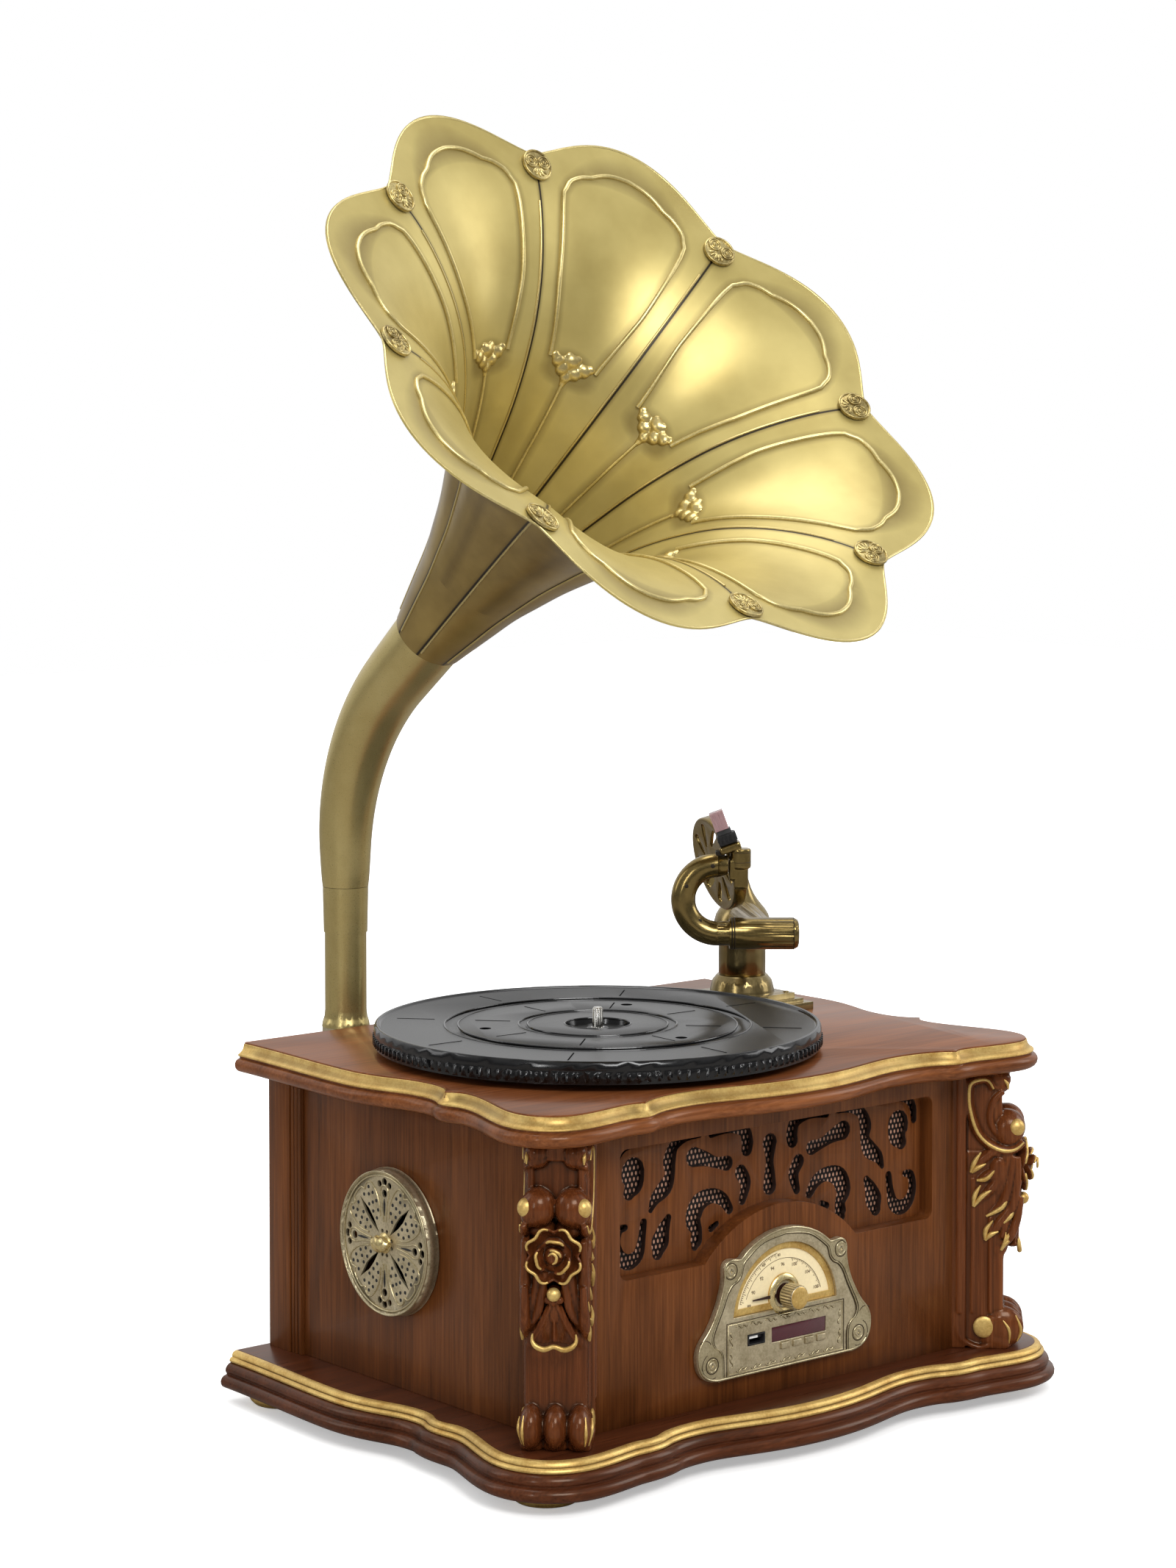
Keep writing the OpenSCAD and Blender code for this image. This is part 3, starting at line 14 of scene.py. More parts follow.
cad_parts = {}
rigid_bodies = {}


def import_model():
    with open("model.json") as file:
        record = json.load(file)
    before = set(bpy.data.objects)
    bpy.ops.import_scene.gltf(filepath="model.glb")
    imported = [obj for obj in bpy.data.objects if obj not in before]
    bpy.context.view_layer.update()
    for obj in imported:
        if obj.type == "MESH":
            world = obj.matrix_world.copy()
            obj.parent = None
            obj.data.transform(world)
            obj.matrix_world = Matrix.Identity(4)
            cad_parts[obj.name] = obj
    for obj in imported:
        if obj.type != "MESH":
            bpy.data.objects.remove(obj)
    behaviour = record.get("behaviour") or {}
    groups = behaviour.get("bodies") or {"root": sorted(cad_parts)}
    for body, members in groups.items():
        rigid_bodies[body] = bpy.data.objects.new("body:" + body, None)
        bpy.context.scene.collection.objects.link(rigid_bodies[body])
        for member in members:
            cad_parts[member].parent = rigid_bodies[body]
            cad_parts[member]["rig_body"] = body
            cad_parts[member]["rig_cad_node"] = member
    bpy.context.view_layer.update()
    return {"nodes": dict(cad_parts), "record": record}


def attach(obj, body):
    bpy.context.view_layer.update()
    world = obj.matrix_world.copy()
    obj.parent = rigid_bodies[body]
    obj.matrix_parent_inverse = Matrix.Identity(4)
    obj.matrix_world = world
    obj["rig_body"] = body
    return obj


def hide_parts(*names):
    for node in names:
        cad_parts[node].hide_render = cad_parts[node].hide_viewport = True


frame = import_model()
nodes = frame["nodes"]
record = frame["record"]
body_of = {node: body for body, members in record["behaviour"]["bodies"].items() for node in members}
slot_of = {part["node"]: part["material_slot"] for part in record["subparts"]}
MM = 0.001

# %% [markdown]
# ## The camera
# The camera stands where the photographer stood: in front and to the left, a little above the
# platter and nearly level. Its long lens and its shift give the photograph's framing.

# %% The camera
LONG_SIDE = 2133
FOCAL_PX = 4843.0
MIDDLE_PX, AXIS_PX = (800, 1066.5), (805.6, 784.9)
camera_data = bpy.data.cameras.new("photo_camera")
camera = bpy.data.objects.new("photo_camera", camera_data)
bpy.context.scene.collection.objects.link(camera)
bpy.context.scene.camera = camera
camera.location = (-1.5855, -1.8498, 0.679)
LOOKING_DOWN, LOOKING_RIGHT = 2.72, 39.99
camera.rotation_euler = (math.radians(90 - LOOKING_DOWN), 0, math.radians(-LOOKING_RIGHT))
camera_data.sensor_width = 36
camera_data.lens = FOCAL_PX / LONG_SIDE * camera_data.sensor_width
camera_data.shift_x = (MIDDLE_PX[0] - AXIS_PX[0]) / LONG_SIDE
camera_data.shift_y = (AXIS_PX[1] - MIDDLE_PX[1]) / LONG_SIDE
print("lens", round(camera_data.lens, 1), "mm")

# %% [markdown]
# ## Floor and light
# The floor is pale and plain. Soft boxes light the object: a large one from above and in front,
# one overhead, a weaker one from the right, and strips on the left and behind that draw the
# bright lines down the tubes. World and floor are white to the camera, and the floor keeps the
# shadow. Its glow grows with distance, so that the shadow under the object stays.

# %% Floor and light
def deselect():
    for other in bpy.context.selected_objects:
        other.select_set(False)


def pick(*objects):
    deselect()
    for one in objects:
        one.select_set(True)
    bpy.context.view_layer.objects.active = objects[0]


def node_in(tree, kind, at=None, **values):
    made = tree.nodes.new("ShaderNode" + kind)
    for key, value in values.items():
        setattr(made, key, value)
    for key, value in (at or {}).items():
        made.inputs[key].default_value = value
    return made


deselect()
bpy.ops.mesh.primitive_plane_add(size=12, location=(0, 0, -0.0005))
floor = bpy.context.object
floor.name = "floor"
# To glossy rays the floor is darker: a painted dark reflection of the floor in the metals.
FLOOR_COLOUR, FLOOR_MIRRORED = (0.9, 0.9, 0.89, 1), (0.3, 0.28, 0.26, 1)
floor_paint = bpy.data.materials.new("pale_floor")
floor_paint.use_nodes = True
paint = floor_paint.node_tree
paint_shader = paint.nodes["Principled BSDF"]
paint_shader.inputs["Roughness"].default_value = 0.7
paint_shader.inputs["Emission Color"].default_value = (1, 1, 1, 1)
floor_rays = node_in(paint, "LightPath")
floor_place = node_in(paint, "TexCoord")
floor_far = node_in(paint, "VectorMath", operation="LENGTH")
floor_lift = node_in(paint, "MapRange", {"From Min": 0.35, "From Max": 1.1, "To Min": 0.4, "To Max": 1.0})
floor_glow = node_in(paint, "Math", operation="MULTIPLY")
floor_tone = node_in(paint, "MixRGB", {1: FLOOR_COLOUR, 2: FLOOR_MIRRORED})
for source, target in (
        (floor_place.outputs["Object"], floor_far.inputs[0]),
        (floor_far.outputs["Value"], floor_lift.inputs["Value"]),
        (floor_lift.outputs[0], floor_glow.inputs[1]),
        (floor_rays.outputs["Is Camera Ray"], floor_glow.inputs[0]),
        (floor_glow.outputs[0], paint_shader.inputs["Emission Strength"]),
        (floor_rays.outputs["Is Glossy Ray"], floor_tone.inputs[0]),
        (floor_tone.outputs[0], paint_shader.inputs["Base Color"])):
    paint.links.new(source, target)
floor.data.materials.append(floor_paint)


def soft_box(name, place, aim, size, power):
    light = bpy.data.lights.new(name, "AREA")
    light.shape = "RECTANGLE"
    light.size, light.size_y = size
    light.energy = power
    box = bpy.data.objects.new(name, light)
    bpy.context.scene.collection.objects.link(box)
    box.location = place
    box.rotation_euler = (Vector(aim) - Vector(place)).to_track_quat("-Z", "Y").to_euler()


soft_box("key_light", (-0.9, -2.3, 2.2), (0, 0, 0.45), (1.5, 1.1), 56)
soft_box("right_light", (2.1, -1.2, 1.3), (0, 0, 0.4), (1.0, 1.4), 16)
soft_box("top_light", (0.2, 0.2, 2.6), (0, 0, 0.4), (1.6, 1.2), 24)
soft_box("left_strip", (-2.3, -0.9, 1.0), (-0.17, 0.05, 0.55), (0.16, 1.0), 7)
soft_box("back_light", (-1.6, 1.5, 1.4), (0, 0.1, 0.5), (0.6, 1.6), 7)

world = bpy.data.worlds.new("studio")
bpy.context.scene.world = world
world.use_nodes = True
sky = world.node_tree
sky.nodes.clear()
rays = node_in(sky, "LightPath")
look = node_in(sky, "TexCoord")
height = node_in(sky, "SeparateXYZ")
fade = node_in(sky, "MapRange", {"From Min": 0.0, "From Max": 0.75, "To Min": 0.13, "To Max": 0.5})
behind = node_in(sky, "VectorMath", {1: (0.64, 0.77, 0)}, operation="DOT_PRODUCT")
screen = node_in(sky, "MapRange", {"From Min": 0.1, "From Max": 0.8, "To Min": 0.0, "To Max": 0.6})
both_parts = node_in(sky, "Math", operation="ADD")
dim = node_in(sky, "Background", {"Color": (1, 1, 1, 1)})
white = node_in(sky, "Background", {"Color": (1, 1, 1, 1), "Strength": 1.0})
either = node_in(sky, "MixShader")
for source, target in (
        (look.outputs["Generated"], height.inputs[0]), (height.outputs["Z"], fade.inputs["Value"]),
        (look.outputs["Generated"], behind.inputs[0]), (behind.outputs["Value"], screen.inputs["Value"]),
        (fade.outputs[0], both_parts.inputs[0]), (screen.outputs[0], both_parts.inputs[1]),
        (both_parts.outputs[0], dim.inputs["Strength"]), (rays.outputs["Is Camera Ray"], either.inputs["Fac"]),
        (dim.outputs[0], either.inputs[1]), (white.outputs[0], either.inputs[2]),
        (either.outputs[0], node_in(sky, "OutputWorld").inputs["Surface"])):
    sky.links.new(source, target)
bpy.context.scene.view_settings.view_transform = "Standard"

# %% [markdown]
# ## Finishes
# Every finish is a small tree of nodes on the object's own coordinates, so that it stays put when
# a body moves. A grain is noise stretched along one axis; a ramp turns it into colours; the same
# noise, weaker, drives roughness and bump. Values that are the same all over sit on the shader.

# %% Helpers for finishes
def rgb(red, green, blue):
    """A colour as a screen shows it, 0 to 255, turned into the linear numbers that a shader takes."""
    parts = (c / 255 for c in (red, green, blue))
    return tuple(c / 12.92 if c < 0.0404 else ((c + 0.055) / 1.055) ** 2.4 for c in parts) + (1,)


def scaled(colour, factor):
    """A colour made darker or paler."""
    return tuple(min(1, c * factor) for c in colour[:3]) + (1,)


class Finish:
    """A material whose shader is fed step by step."""

    def __init__(self, name, **constant):
        self.material = bpy.data.materials.new(name)
        self.material.use_nodes = True
        self.tree = self.material.node_tree
        self.shader = self.tree.nodes["Principled BSDF"]
        for key, value in constant.items():
            self.shader.inputs[key.replace("_", " ")].default_value = value
        self.where = node_in(self.tree, "TexCoord").outputs["Object"]

    def join(self, source, target):
        self.tree.links.new(source, target)
        return target

    def feed(self, source, socket):
        self.join(source, self.shader.inputs[socket])

    def set(self, step, *values):
        """Gives a node's first inputs plain numbers and colours, or joins them to other nodes."""
        for index, value in enumerate(values):
            if isinstance(value, (int, float, tuple)):
                step.inputs[index].default_value = value
            else:
                self.join(value, step.inputs[index])
        return step.outputs[0]

    def calc(self, operation, first, second=0.0):
        return self.set(node_in(self.tree, "Math", operation=operation), first, second)

    def blend(self, first, second, share):
        """Two patterns added up, the first with its share."""
        return self.calc("ADD", self.calc("MULTIPLY", first, share), self.calc("MULTIPLY", second, 1 - share))

    def noise(self, scale, stretch=(1, 1, 1), detail=4.0, rough=0.5, warp=0.0):
        place = node_in(self.tree, "Mapping", {"Scale": stretch})
        self.join(self.where, place.inputs["Vector"])
        cloud = node_in(self.tree, "TexNoise",
                        {"Scale": scale, "Detail": detail, "Roughness": rough, "Distortion": warp})
        self.join(place.outputs[0], cloud.inputs["Vector"])
        return cloud.outputs[0]

    def span(self, value, low, high, start=0.0, end=1.0):
        step = node_in(self.tree, "MapRange", {"From Min": start, "From Max": end, "To Min": low, "To Max": high})
        self.join(value, step.inputs["Value"])
        return step.outputs[0]

    def ramp(self, value, *stops):
        step = node_in(self.tree, "ValToRGB")
        band = step.color_ramp
        for _ in range(len(stops) - 2):
            band.elements.new(0.5)
        for element, (at, colour) in zip(band.elements, stops):
            element.position = at
            element.color = colour
        self.join(value, step.inputs[0])
        return step.outputs[0]

    def mix(self, share, first, second):
        return self.set(node_in(self.tree, "MixRGB"), share, first, second)

    def bump(self, height, strength, deep=0.0005):
        step = node_in(self.tree, "Bump", {"Strength": strength, "Distance": deep})
        self.join(height, step.inputs["Height"])
        self.feed(step.outputs[0], "Normal")

    def groove(self, depth, until):
        """Dark in a groove and 0 on an edge, from how the surface bends: painted shade, and tarnish where the metal
        is aged.
        """
        shape = node_in(self.tree, "NewGeometry")
        return self.span(self.span(shape.outputs["Pointiness"], 0, 1, 0.46, 0.52), depth, 0.0, 0.0, until)


def wood(name, along, dark, middle, light, gloss=0.3, carved=False):
    """Lacquered wood whose grain runs along one axis, 0, 1 or 2; carved wood gets painted shade in its hollows."""
    made = Finish(name, Coat_Weight=0.12, Coat_Roughness=0.12, Coat_Tint=(1, 0.82, 0.62, 1),
                  Specular_IOR_Level=0.3, Specular_Tint=(1, 0.72, 0.5, 1))
    fine = tuple(0.03 if axis == along else 1 for axis in range(3))
    broad = tuple(0.12 if axis == along else 1 for axis in range(3))
    streaks = made.noise(520, fine, 5, 0.62)
    figure = made.noise(34, broad, 3, 0.5, warp=0.6)
    grain = made.blend(streaks, figure, 0.55)
    colour = made.ramp(grain, (0.32, dark), (0.5, middle), (0.68, light))
    # Painted shade: carved wood darkens in its hollows.
    if carved:
        colour = made.mix(made.groove(0.9, 0.7), colour, scaled(dark, 0.3))
    made.feed(colour, "Base Color")
    made.feed(made.span(streaks, gloss, gloss + 0.16), "Roughness")
    made.bump(streaks, 0.12, 0.0003)
    return made.material


def metal(name, dark, light, shine, rough, mottle=90.0, edge=True, brushed=(1, 1, 1), dent=0.05):
    """Metal or metal paint with fine mottling; with edge, it is darker in its hollows: painted shade there, with
    tarnish on aged metal.
    """
    made = Finish(name, Metallic=shine)
    patches = made.noise(mottle, (1, 1, 1), 5, 0.6)
    scratches = made.noise(700, brushed, 3, 0.6)
    colour = made.ramp(made.blend(patches, scratches, 0.6), (0.34, dark), (0.62, light))
    # Painted shade in the hollows, with tarnish on aged metal.
    if edge:
        colour = made.mix(made.groove(0.85, 0.75), colour, scaled(dark, 0.28))
    made.feed(colour, "Base Color")
    made.feed(made.span(scratches, rough, rough + 0.16), "Roughness")
    made.bump(scratches, dent, 0.0002)
    return made.material


# %% The finishes
# Gold paint, bronze and carved wood darken in their hollows: painted shade, with tarnish on the aged metals.
finish = {
    "wood": wood("cabinet_wood", 2, rgb(60, 30, 11), rgb(92, 50, 21), rgb(118, 68, 32)),
    "top_wood": wood("top_board_wood", 0, rgb(80, 42, 20), rgb(112, 64, 34), rgb(138, 84, 48), 0.24),
    "dark_wood": wood("dark_moulding_wood", 2, rgb(44, 22, 15), rgb(66, 34, 22), rgb(84, 46, 30), 0.28),
    "edge_wood": wood("edge_moulding_wood", 0, rgb(46, 22, 12), rgb(72, 36, 19), rgb(94, 50, 28), 0.22),
    "gold_paint": metal("gold_paint", rgb(186, 144, 72), rgb(230, 198, 122), 0.66, 0.34, 60.0),
    "bronze_metal": metal("bronze_metal", rgb(166, 152, 120), rgb(218, 205, 172), 0.78, 0.3, 70.0),
    "horn_brass": metal("horn_brass", rgb(192, 171, 110), rgb(208, 190, 130), 0.82, 0.22, 26.0,
                        edge=False, brushed=(2, 2, 2), dent=0.01),
    "steel": metal("plain_steel", rgb(140, 140, 142), rgb(190, 190, 192), 0.95, 0.32, 120.0, edge=False),
    "polished_steel": metal("polished_steel", rgb(180, 178, 172), rgb(222, 220, 214), 1.0, 0.12, 40.0,
                            edge=False, dent=0.02),
    "carved_wood": wood("carved_lacquered_wood", 2, rgb(58, 27, 11), rgb(90, 46, 21), rgb(114, 63, 31), 0.18,
                        carved=True),
    "iron": metal("painted_iron", rgb(34, 34, 36), rgb(58, 58, 60), 0.5, 0.42, 150.0, edge=False),
}


def plastic(name, colour, gloss, grain=900.0, dent=0.25, spread=0.25, **constant):
    """Moulded plastic, rubber, card or paint: a fine grain in the surface and slightly uneven colour."""
    made = Finish(name, **constant)
    fleck = made.noise(grain, (1, 1, 1), 3, 0.6)
    cloud = made.noise(30, (1, 1, 1), 2, 0.5)
    tone = made.blend(fleck, cloud, 0.5)
    made.feed(made.ramp(tone, (0.3, scaled(colour, 1 - spread)), (0.7, scaled(colour, 1 + spread))), "Base Color")
    made.feed(made.span(fleck, gloss, gloss + 0.14), "Roughness")
    made.bump(fleck, dent, 0.0002)
    return made.material


finish.update({
    "black_plastic": plastic("black_plastic", rgb(24, 24, 25), 0.36),
    "cream_card": plastic("cream_dial_card", rgb(232, 214, 170), 0.42, 400.0, 0.08, 0.08),
    "maroon_window": plastic("maroon_window", rgb(70, 26, 34), 0.08, 60.0, 0.02, 0.2, Coat_Weight=0.6),
    "pointer": plastic("needle_lacquer", rgb(48, 24, 18), 0.3, 300.0, 0.05),
    "board_green": plastic("circuit_board_green", rgb(28, 88, 48), 0.4, 200.0, 0.1),
    "belt_rubber": plastic("belt_rubber", rgb(20, 20, 20), 0.6),
    "red_plastic": plastic("stylus_red", rgb(190, 30, 44), 0.25, 300.0, 0.05),
    "pink_clear": plastic("guard_pink", rgb(224, 186, 188), 0.12, 200.0, 0.03, 0.08,
                          Transmission_Weight=0.5, IOR=1.45),
    "white_plastic": plastic("white_plastic", rgb(226, 226, 222), 0.3, 300.0, 0.05, 0.05),
})


def dotted_cloth():
    """Speaker mesh: a dark sheet with rows of pale oval dots, every second row shifted by half."""
    pitch, spacing, wide, tall = 3.4, 3.6, 0.85, 1.35
    made = Finish("speaker_mesh")
    split = node_in(made.tree, "SeparateXYZ")
    made.join(made.where, split.inputs[0])
    row = made.calc("DIVIDE", split.outputs["Z"], spacing * MM)
    odd = made.calc("MULTIPLY", made.calc("MODULO", made.calc("FLOOR", row), 2.0), 0.5)
    column = made.calc("ADD", made.calc("DIVIDE", split.outputs["X"], pitch * MM), odd)
    across = made.calc("MULTIPLY", made.calc("SUBTRACT", made.calc("FRACT", column), 0.5), pitch / wide)
    upward = made.calc("MULTIPLY", made.calc("SUBTRACT", made.calc("FRACT", row), 0.5), spacing / tall)
    squares = made.calc("ADD", made.calc("MULTIPLY", across, across), made.calc("MULTIPLY", upward, upward))
    far = made.calc("SQRT", squares)
    dot = made.span(far, 1, 0, 0.8, 1.05)
    made.feed(made.mix(dot, rgb(24, 13, 10), rgb(196, 148, 122)), "Base Color")
    made.feed(made.span(dot, 0.6, 0.4), "Roughness")
    made.bump(far, 0.4, 0.0006)
    return made.material


finish["mesh"] = dotted_cloth()
# Dark walls of the fretwork's slots: painted shade.
finish["slot_edge"] = plastic("slot_wall_painted_shade", rgb(34, 17, 9), 0.5, 500.0, 0.2, 0.4)
print("finishes", len(finish))

# %% [markdown]
# ## Dressing the imported pieces
# A imported node is loose triangles. Where its shape is right, a merged copy takes its place: the
# doubles are merged, flat faces are joined, and the sharp edges get a small bevel, because no
# real edge is a knife's. The copy rides on the node's body.

# %% Dress the imported pieces
def fit(piece, name, body, material, *stands_for, slot=None):
    """Names a finished piece, gives it its finish and ties it to its body."""
    piece.name = piece.data.name = name
    if not piece.data.materials:
        piece.data.materials.append(finish[material] if isinstance(material, str) else material)
    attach(piece, body)
    if stands_for:
        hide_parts(*stands_for)
    if slot or stands_for:
        slot or slot_of[stands_for[0]]
    return piece


def change(piece, kind, **values):
    """Adds a modifier, sets its values and applies it."""
    step = piece.modifiers.new(kind, kind)
    for key, value in values.items():
        setattr(step, key, value)
    pick(piece)
    bpy.ops.object.modifier_apply(modifier=step.name)


def bevel(piece, width, segments=2, angle=32):
    change(piece, "BEVEL", width=width * MM, segments=segments, limit_method="ANGLE",
           angle_limit=math.radians(angle), use_clamp_overlap=True, harden_normals=False)


def smooth(piece, angle=35):
    pick(piece)
    bpy.ops.object.shade_smooth_by_angle(angle=math.radians(angle))


def dress(node, material, width=0.0):
    """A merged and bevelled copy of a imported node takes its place."""
    piece = nodes[node].copy()
    piece.data = nodes[node].data.copy()
    piece.parent = None
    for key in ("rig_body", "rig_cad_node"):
        del piece[key]
    bpy.context.scene.collection.objects.link(piece)
    piece.data.materials.clear()
    pick(piece)
    bpy.ops.object.mode_set(mode="EDIT")
    bpy.ops.mesh.select_all(action="SELECT")
    bpy.ops.mesh.remove_doubles(threshold=1e-5)
    bpy.ops.mesh.dissolve_limited(angle_limit=math.radians(0.6))
    bpy.ops.object.mode_set(mode="OBJECT")
    if width:
        bevel(piece, width)
    smooth(piece)
    return fit(piece, node + "_finished", body_of[node], material, node)


def repaint(piece, material, chosen):
    """Gives the faces whose normal is chosen a second finish."""
    piece.data.materials.append(finish[material])
    for face in piece.data.polygons:
        if chosen(face.normal):
            face.material_index = 1


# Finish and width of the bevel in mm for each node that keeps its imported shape.
plain_nodes = {
    "feet": ("gold_paint", 0.6), "front_panel": ("wood", 0.5), "left_panel": ("wood", 0.4),
    "right_panel": ("wood", 0.4), "back_panel": ("dark_wood", 0.4), "rear_posts": ("wood", 0.5),
    "fretwork_panel": ("wood", 0.35), "speaker_mesh": ("mesh", 0), "left_vent": ("bronze_metal", 0),
    "right_vent": ("bronze_metal", 0), "control_plate": ("bronze_metal", 0.4), "dial_face": ("cream_card", 0),
    "dial_frame": ("gold_paint", 0.15), "display_window": ("maroon_window", 0.2),
    "plate_screws": ("bronze_metal", 0), "usb_socket": ("black_plastic", 0.2), "dial_pointer": ("pointer", 0),
    **{f"button_{k}": ("bronze_metal", 0.4) for k in (1, 2, 3, 4)},
    "circuit_board": ("board_green", 0), "speakers": ("iron", 0), "transformer": ("iron", 0),
    "terminal_plate": ("black_plastic", 0), "motor": ("steel", 0), "motor_pulley": ("horn_brass", 0),
    "drive_belt": ("belt_rubber", 0), "bearing_housing": ("horn_brass", 0), "spindle": ("polished_steel", 0),
    "arm_pivot_pin": ("steel", 0), "cartridge": ("black_plastic", 0.5), "stylus": ("red_plastic", 0.2),
    "stylus_guard": ("pink_clear", 0.4), "horn_bracket": ("bronze_metal", 0), "horn_stem": ("horn_brass", 0),
    "horn_collar": ("horn_brass", 0), "horn_spigot": ("horn_brass", 0),
}
dressed = {node: dress(node, *values) for node, values in plain_nodes.items()}
# Painted shade: the faces that look sideways, the slots' walls, get the dark finish.
repaint(dressed["fretwork_panel"], "slot_edge", lambda normal: abs(normal.y) < 0.6)
print("dressed", len(plain_nodes))

# %% [markdown]
# ## Sheets, boards and wires
# Three ways of making a shape come back again and again. A *rolled sheet* is a flat grid whose
# points are set one by one, as sheet metal is rolled: good for the horn. A *moulding* is the same
# sheet closed round a board's outline. A *wire* is a line with a round section, made a mesh.

# %% Sheets, boards and wires
def in_edit(piece, *steps):
    """Runs operators on the whole piece in edit mode; each step is a function."""
    pick(piece)
    bpy.ops.object.mode_set(mode="EDIT")
    bpy.ops.mesh.select_all(action="SELECT")
    for step in steps:
        step()
    bpy.ops.object.mode_set(mode="OBJECT")


def rolled(columns, rows, place, merge=True):
    """A flat grid set in place: place(u, v) gives millimetres for u across and v along, 0 to 1."""
    deselect()
    bpy.ops.mesh.primitive_grid_add(x_subdivisions=columns, y_subdivisions=rows, size=2, location=(0, 0, 0))
    piece = bpy.context.object
    for point in piece.data.vertices:
        point.co = Vector(place((point.co.x + 1) / 2, (point.co.y + 1) / 2)) * MM
    if merge:
        merged(piece, 1e-6)
    return piece


def merged(piece, within):
    in_edit(piece, lambda: bpy.ops.mesh.remove_doubles(threshold=within))


def facing_out(piece):
    in_edit(piece, lambda: bpy.ops.mesh.normals_make_consistent(inside=False))


def thicken(piece, wall, behind=0):
    """Gives a sheet its wall, behind the side that its faces look to; behind=1 gives it the second finish."""
    change(piece, "SOLIDIFY", thickness=wall * MM, offset=-1, use_even_offset=False, material_offset=behind)
    return piece


def drawn_line(runs, thickness, sides, caps, closed=False):
    """A round line through runs of (place, radius), made a mesh."""
    line = bpy.data.curves.new("line", "CURVE")
    line.dimensions = "3D"
    line.bevel_depth, line.bevel_resolution, line.use_fill_caps = thickness * MM, sides, caps
    for run in runs:
        spline = line.splines.new("POLY")
        spline.points.add(len(run) - 1)
        for point, (place, radius) in zip(spline.points, run):
            point.co, point.radius = (*place, 1), radius
        spline.use_cyclic_u = closed
    piece = bpy.data.objects.new("line", line)
    bpy.context.scene.collection.objects.link(piece)
    pick(piece)
    bpy.ops.object.convert(target="MESH")
    return bpy.context.object


def wires(runs, radius, closed=True, sides=2):
    """Round wires through runs of points in metres, joined into one mesh."""
    piece = drawn_line([[(place, 1) for place in run] for run in runs], radius, sides, not closed, closed)
    merged(piece, 2e-6)
    smooth(piece, 60)
    return piece


def copies(piece, places):
    """One copy of a finished piece for each matrix, each with its own mesh; the model itself goes."""
    made = []
    for place in places:
        twin = piece.copy()
        twin.data = piece.data.copy()
        twin.data.transform(place)
        if place.determinant() < 0:
            twin.data.flip_normals()
        bpy.context.scene.collection.objects.link(twin)
        made.append(twin)
    bpy.data.objects.remove(piece)
    return made


def joined(*parts):
    pick(*parts)
    if len(parts) > 1:
        bpy.ops.object.join()
    return bpy.context.object


def curve_through(stations, share):
    """A smooth value between stations (share, value, ...), by a cubic through four of them."""
    count = len(stations)
    k = max(0, min(count - 2, next((i - 1 for i in range(count) if stations[i][0] > share), count - 2)))
    near = [stations[max(0, min(count - 1, k + step))] for step in (-1, 0, 1, 2)]
    t = (share - near[1][0]) / (near[2][0] - near[1][0])
    out = []
    for a, b, c, d in zip(*(station[1:] for station in near)):
        square, cube = 2 * a - 5 * b + 4 * c - d, 3 * b - a - 3 * c + d
        out.append(0.5 * (2 * b + (c - a) * t + square * t * t + cube * t ** 3))
    return out


# %% [markdown]
# ## The horn
# The real bell is eight petals of sheet brass, seamed to each other, with a window of raised wire
# pressed into each one. The sheet here is one grid rolled round the bell's axis. Each point also
# keeps its distance from the seam and from the wire, and the finish darkens where that is small:
# painted shade in the creases, together with tarnish where a polisher can't reach into a corner.

# %% The horn's sizes
STEM = Vector((-113, 176.5, 0))
HORN_YAW = math.radians(3.5 - 90)
ELBOW_Z = 344.5
ELBOW_TURN = math.radians(49)
ELBOW_BEND = 165.0
ELBOW_STRAIGHT, ELBOW_END = 24.0, 46.5
ELBOW_ARC = ELBOW_BEND * ELBOW_TURN
ELBOW_LEN = ELBOW_STRAIGHT + ELBOW_ARC + ELBOW_END
ELBOW_R, JOINT_R = 16.4, 25.0
BELL_LEN, BELL_R = 267.0, 189.0
PETALS = 8
PETAL_SWELL, NOTCH_OUT, PETAL_OUT = 6.0, 11.0, 41.0
BELL_ROLL = math.radians(-8)
WALL = 1.2
BELL_PROFILE = (
    (1, 0.1323), (0.93, 0.1535), (0.86, 0.175), (0.77, 0.203), (0.68, 0.238), (0.59, 0.275), (0.505, 0.318),
    (0.42, 0.365), (0.345, 0.417), (0.275, 0.477), (0.21, 0.545), (0.15, 0.627), (0.1, 0.715), (0.055, 0.815),
    (0.022, 0.91), (0, 1),
)


def elbow_at(s):
    """The elbow's centre line: forward, up and slope from upright."""
    if s < ELBOW_STRAIGHT:
        return 0, ELBOW_Z + s, 0
    turn = min((s - ELBOW_STRAIGHT) / ELBOW_BEND, ELBOW_TURN)
    rest = max(0, s - ELBOW_STRAIGHT - ELBOW_ARC)
    forward = ELBOW_BEND * (1 - math.cos(turn)) + rest * math.sin(turn)
    return forward, ELBOW_Z + ELBOW_STRAIGHT + ELBOW_BEND * math.sin(turn) + rest * math.cos(turn), turn


seam_forward, seam_up, _ = elbow_at(ELBOW_LEN)
at_horn = Matrix.Translation(STEM) @ Matrix.Rotation(HORN_YAW, 4, "Z")
at_bell = at_horn @ Matrix.Translation((seam_forward, 0, seam_up)) @ Matrix.Rotation(ELBOW_TURN, 4, "Y")

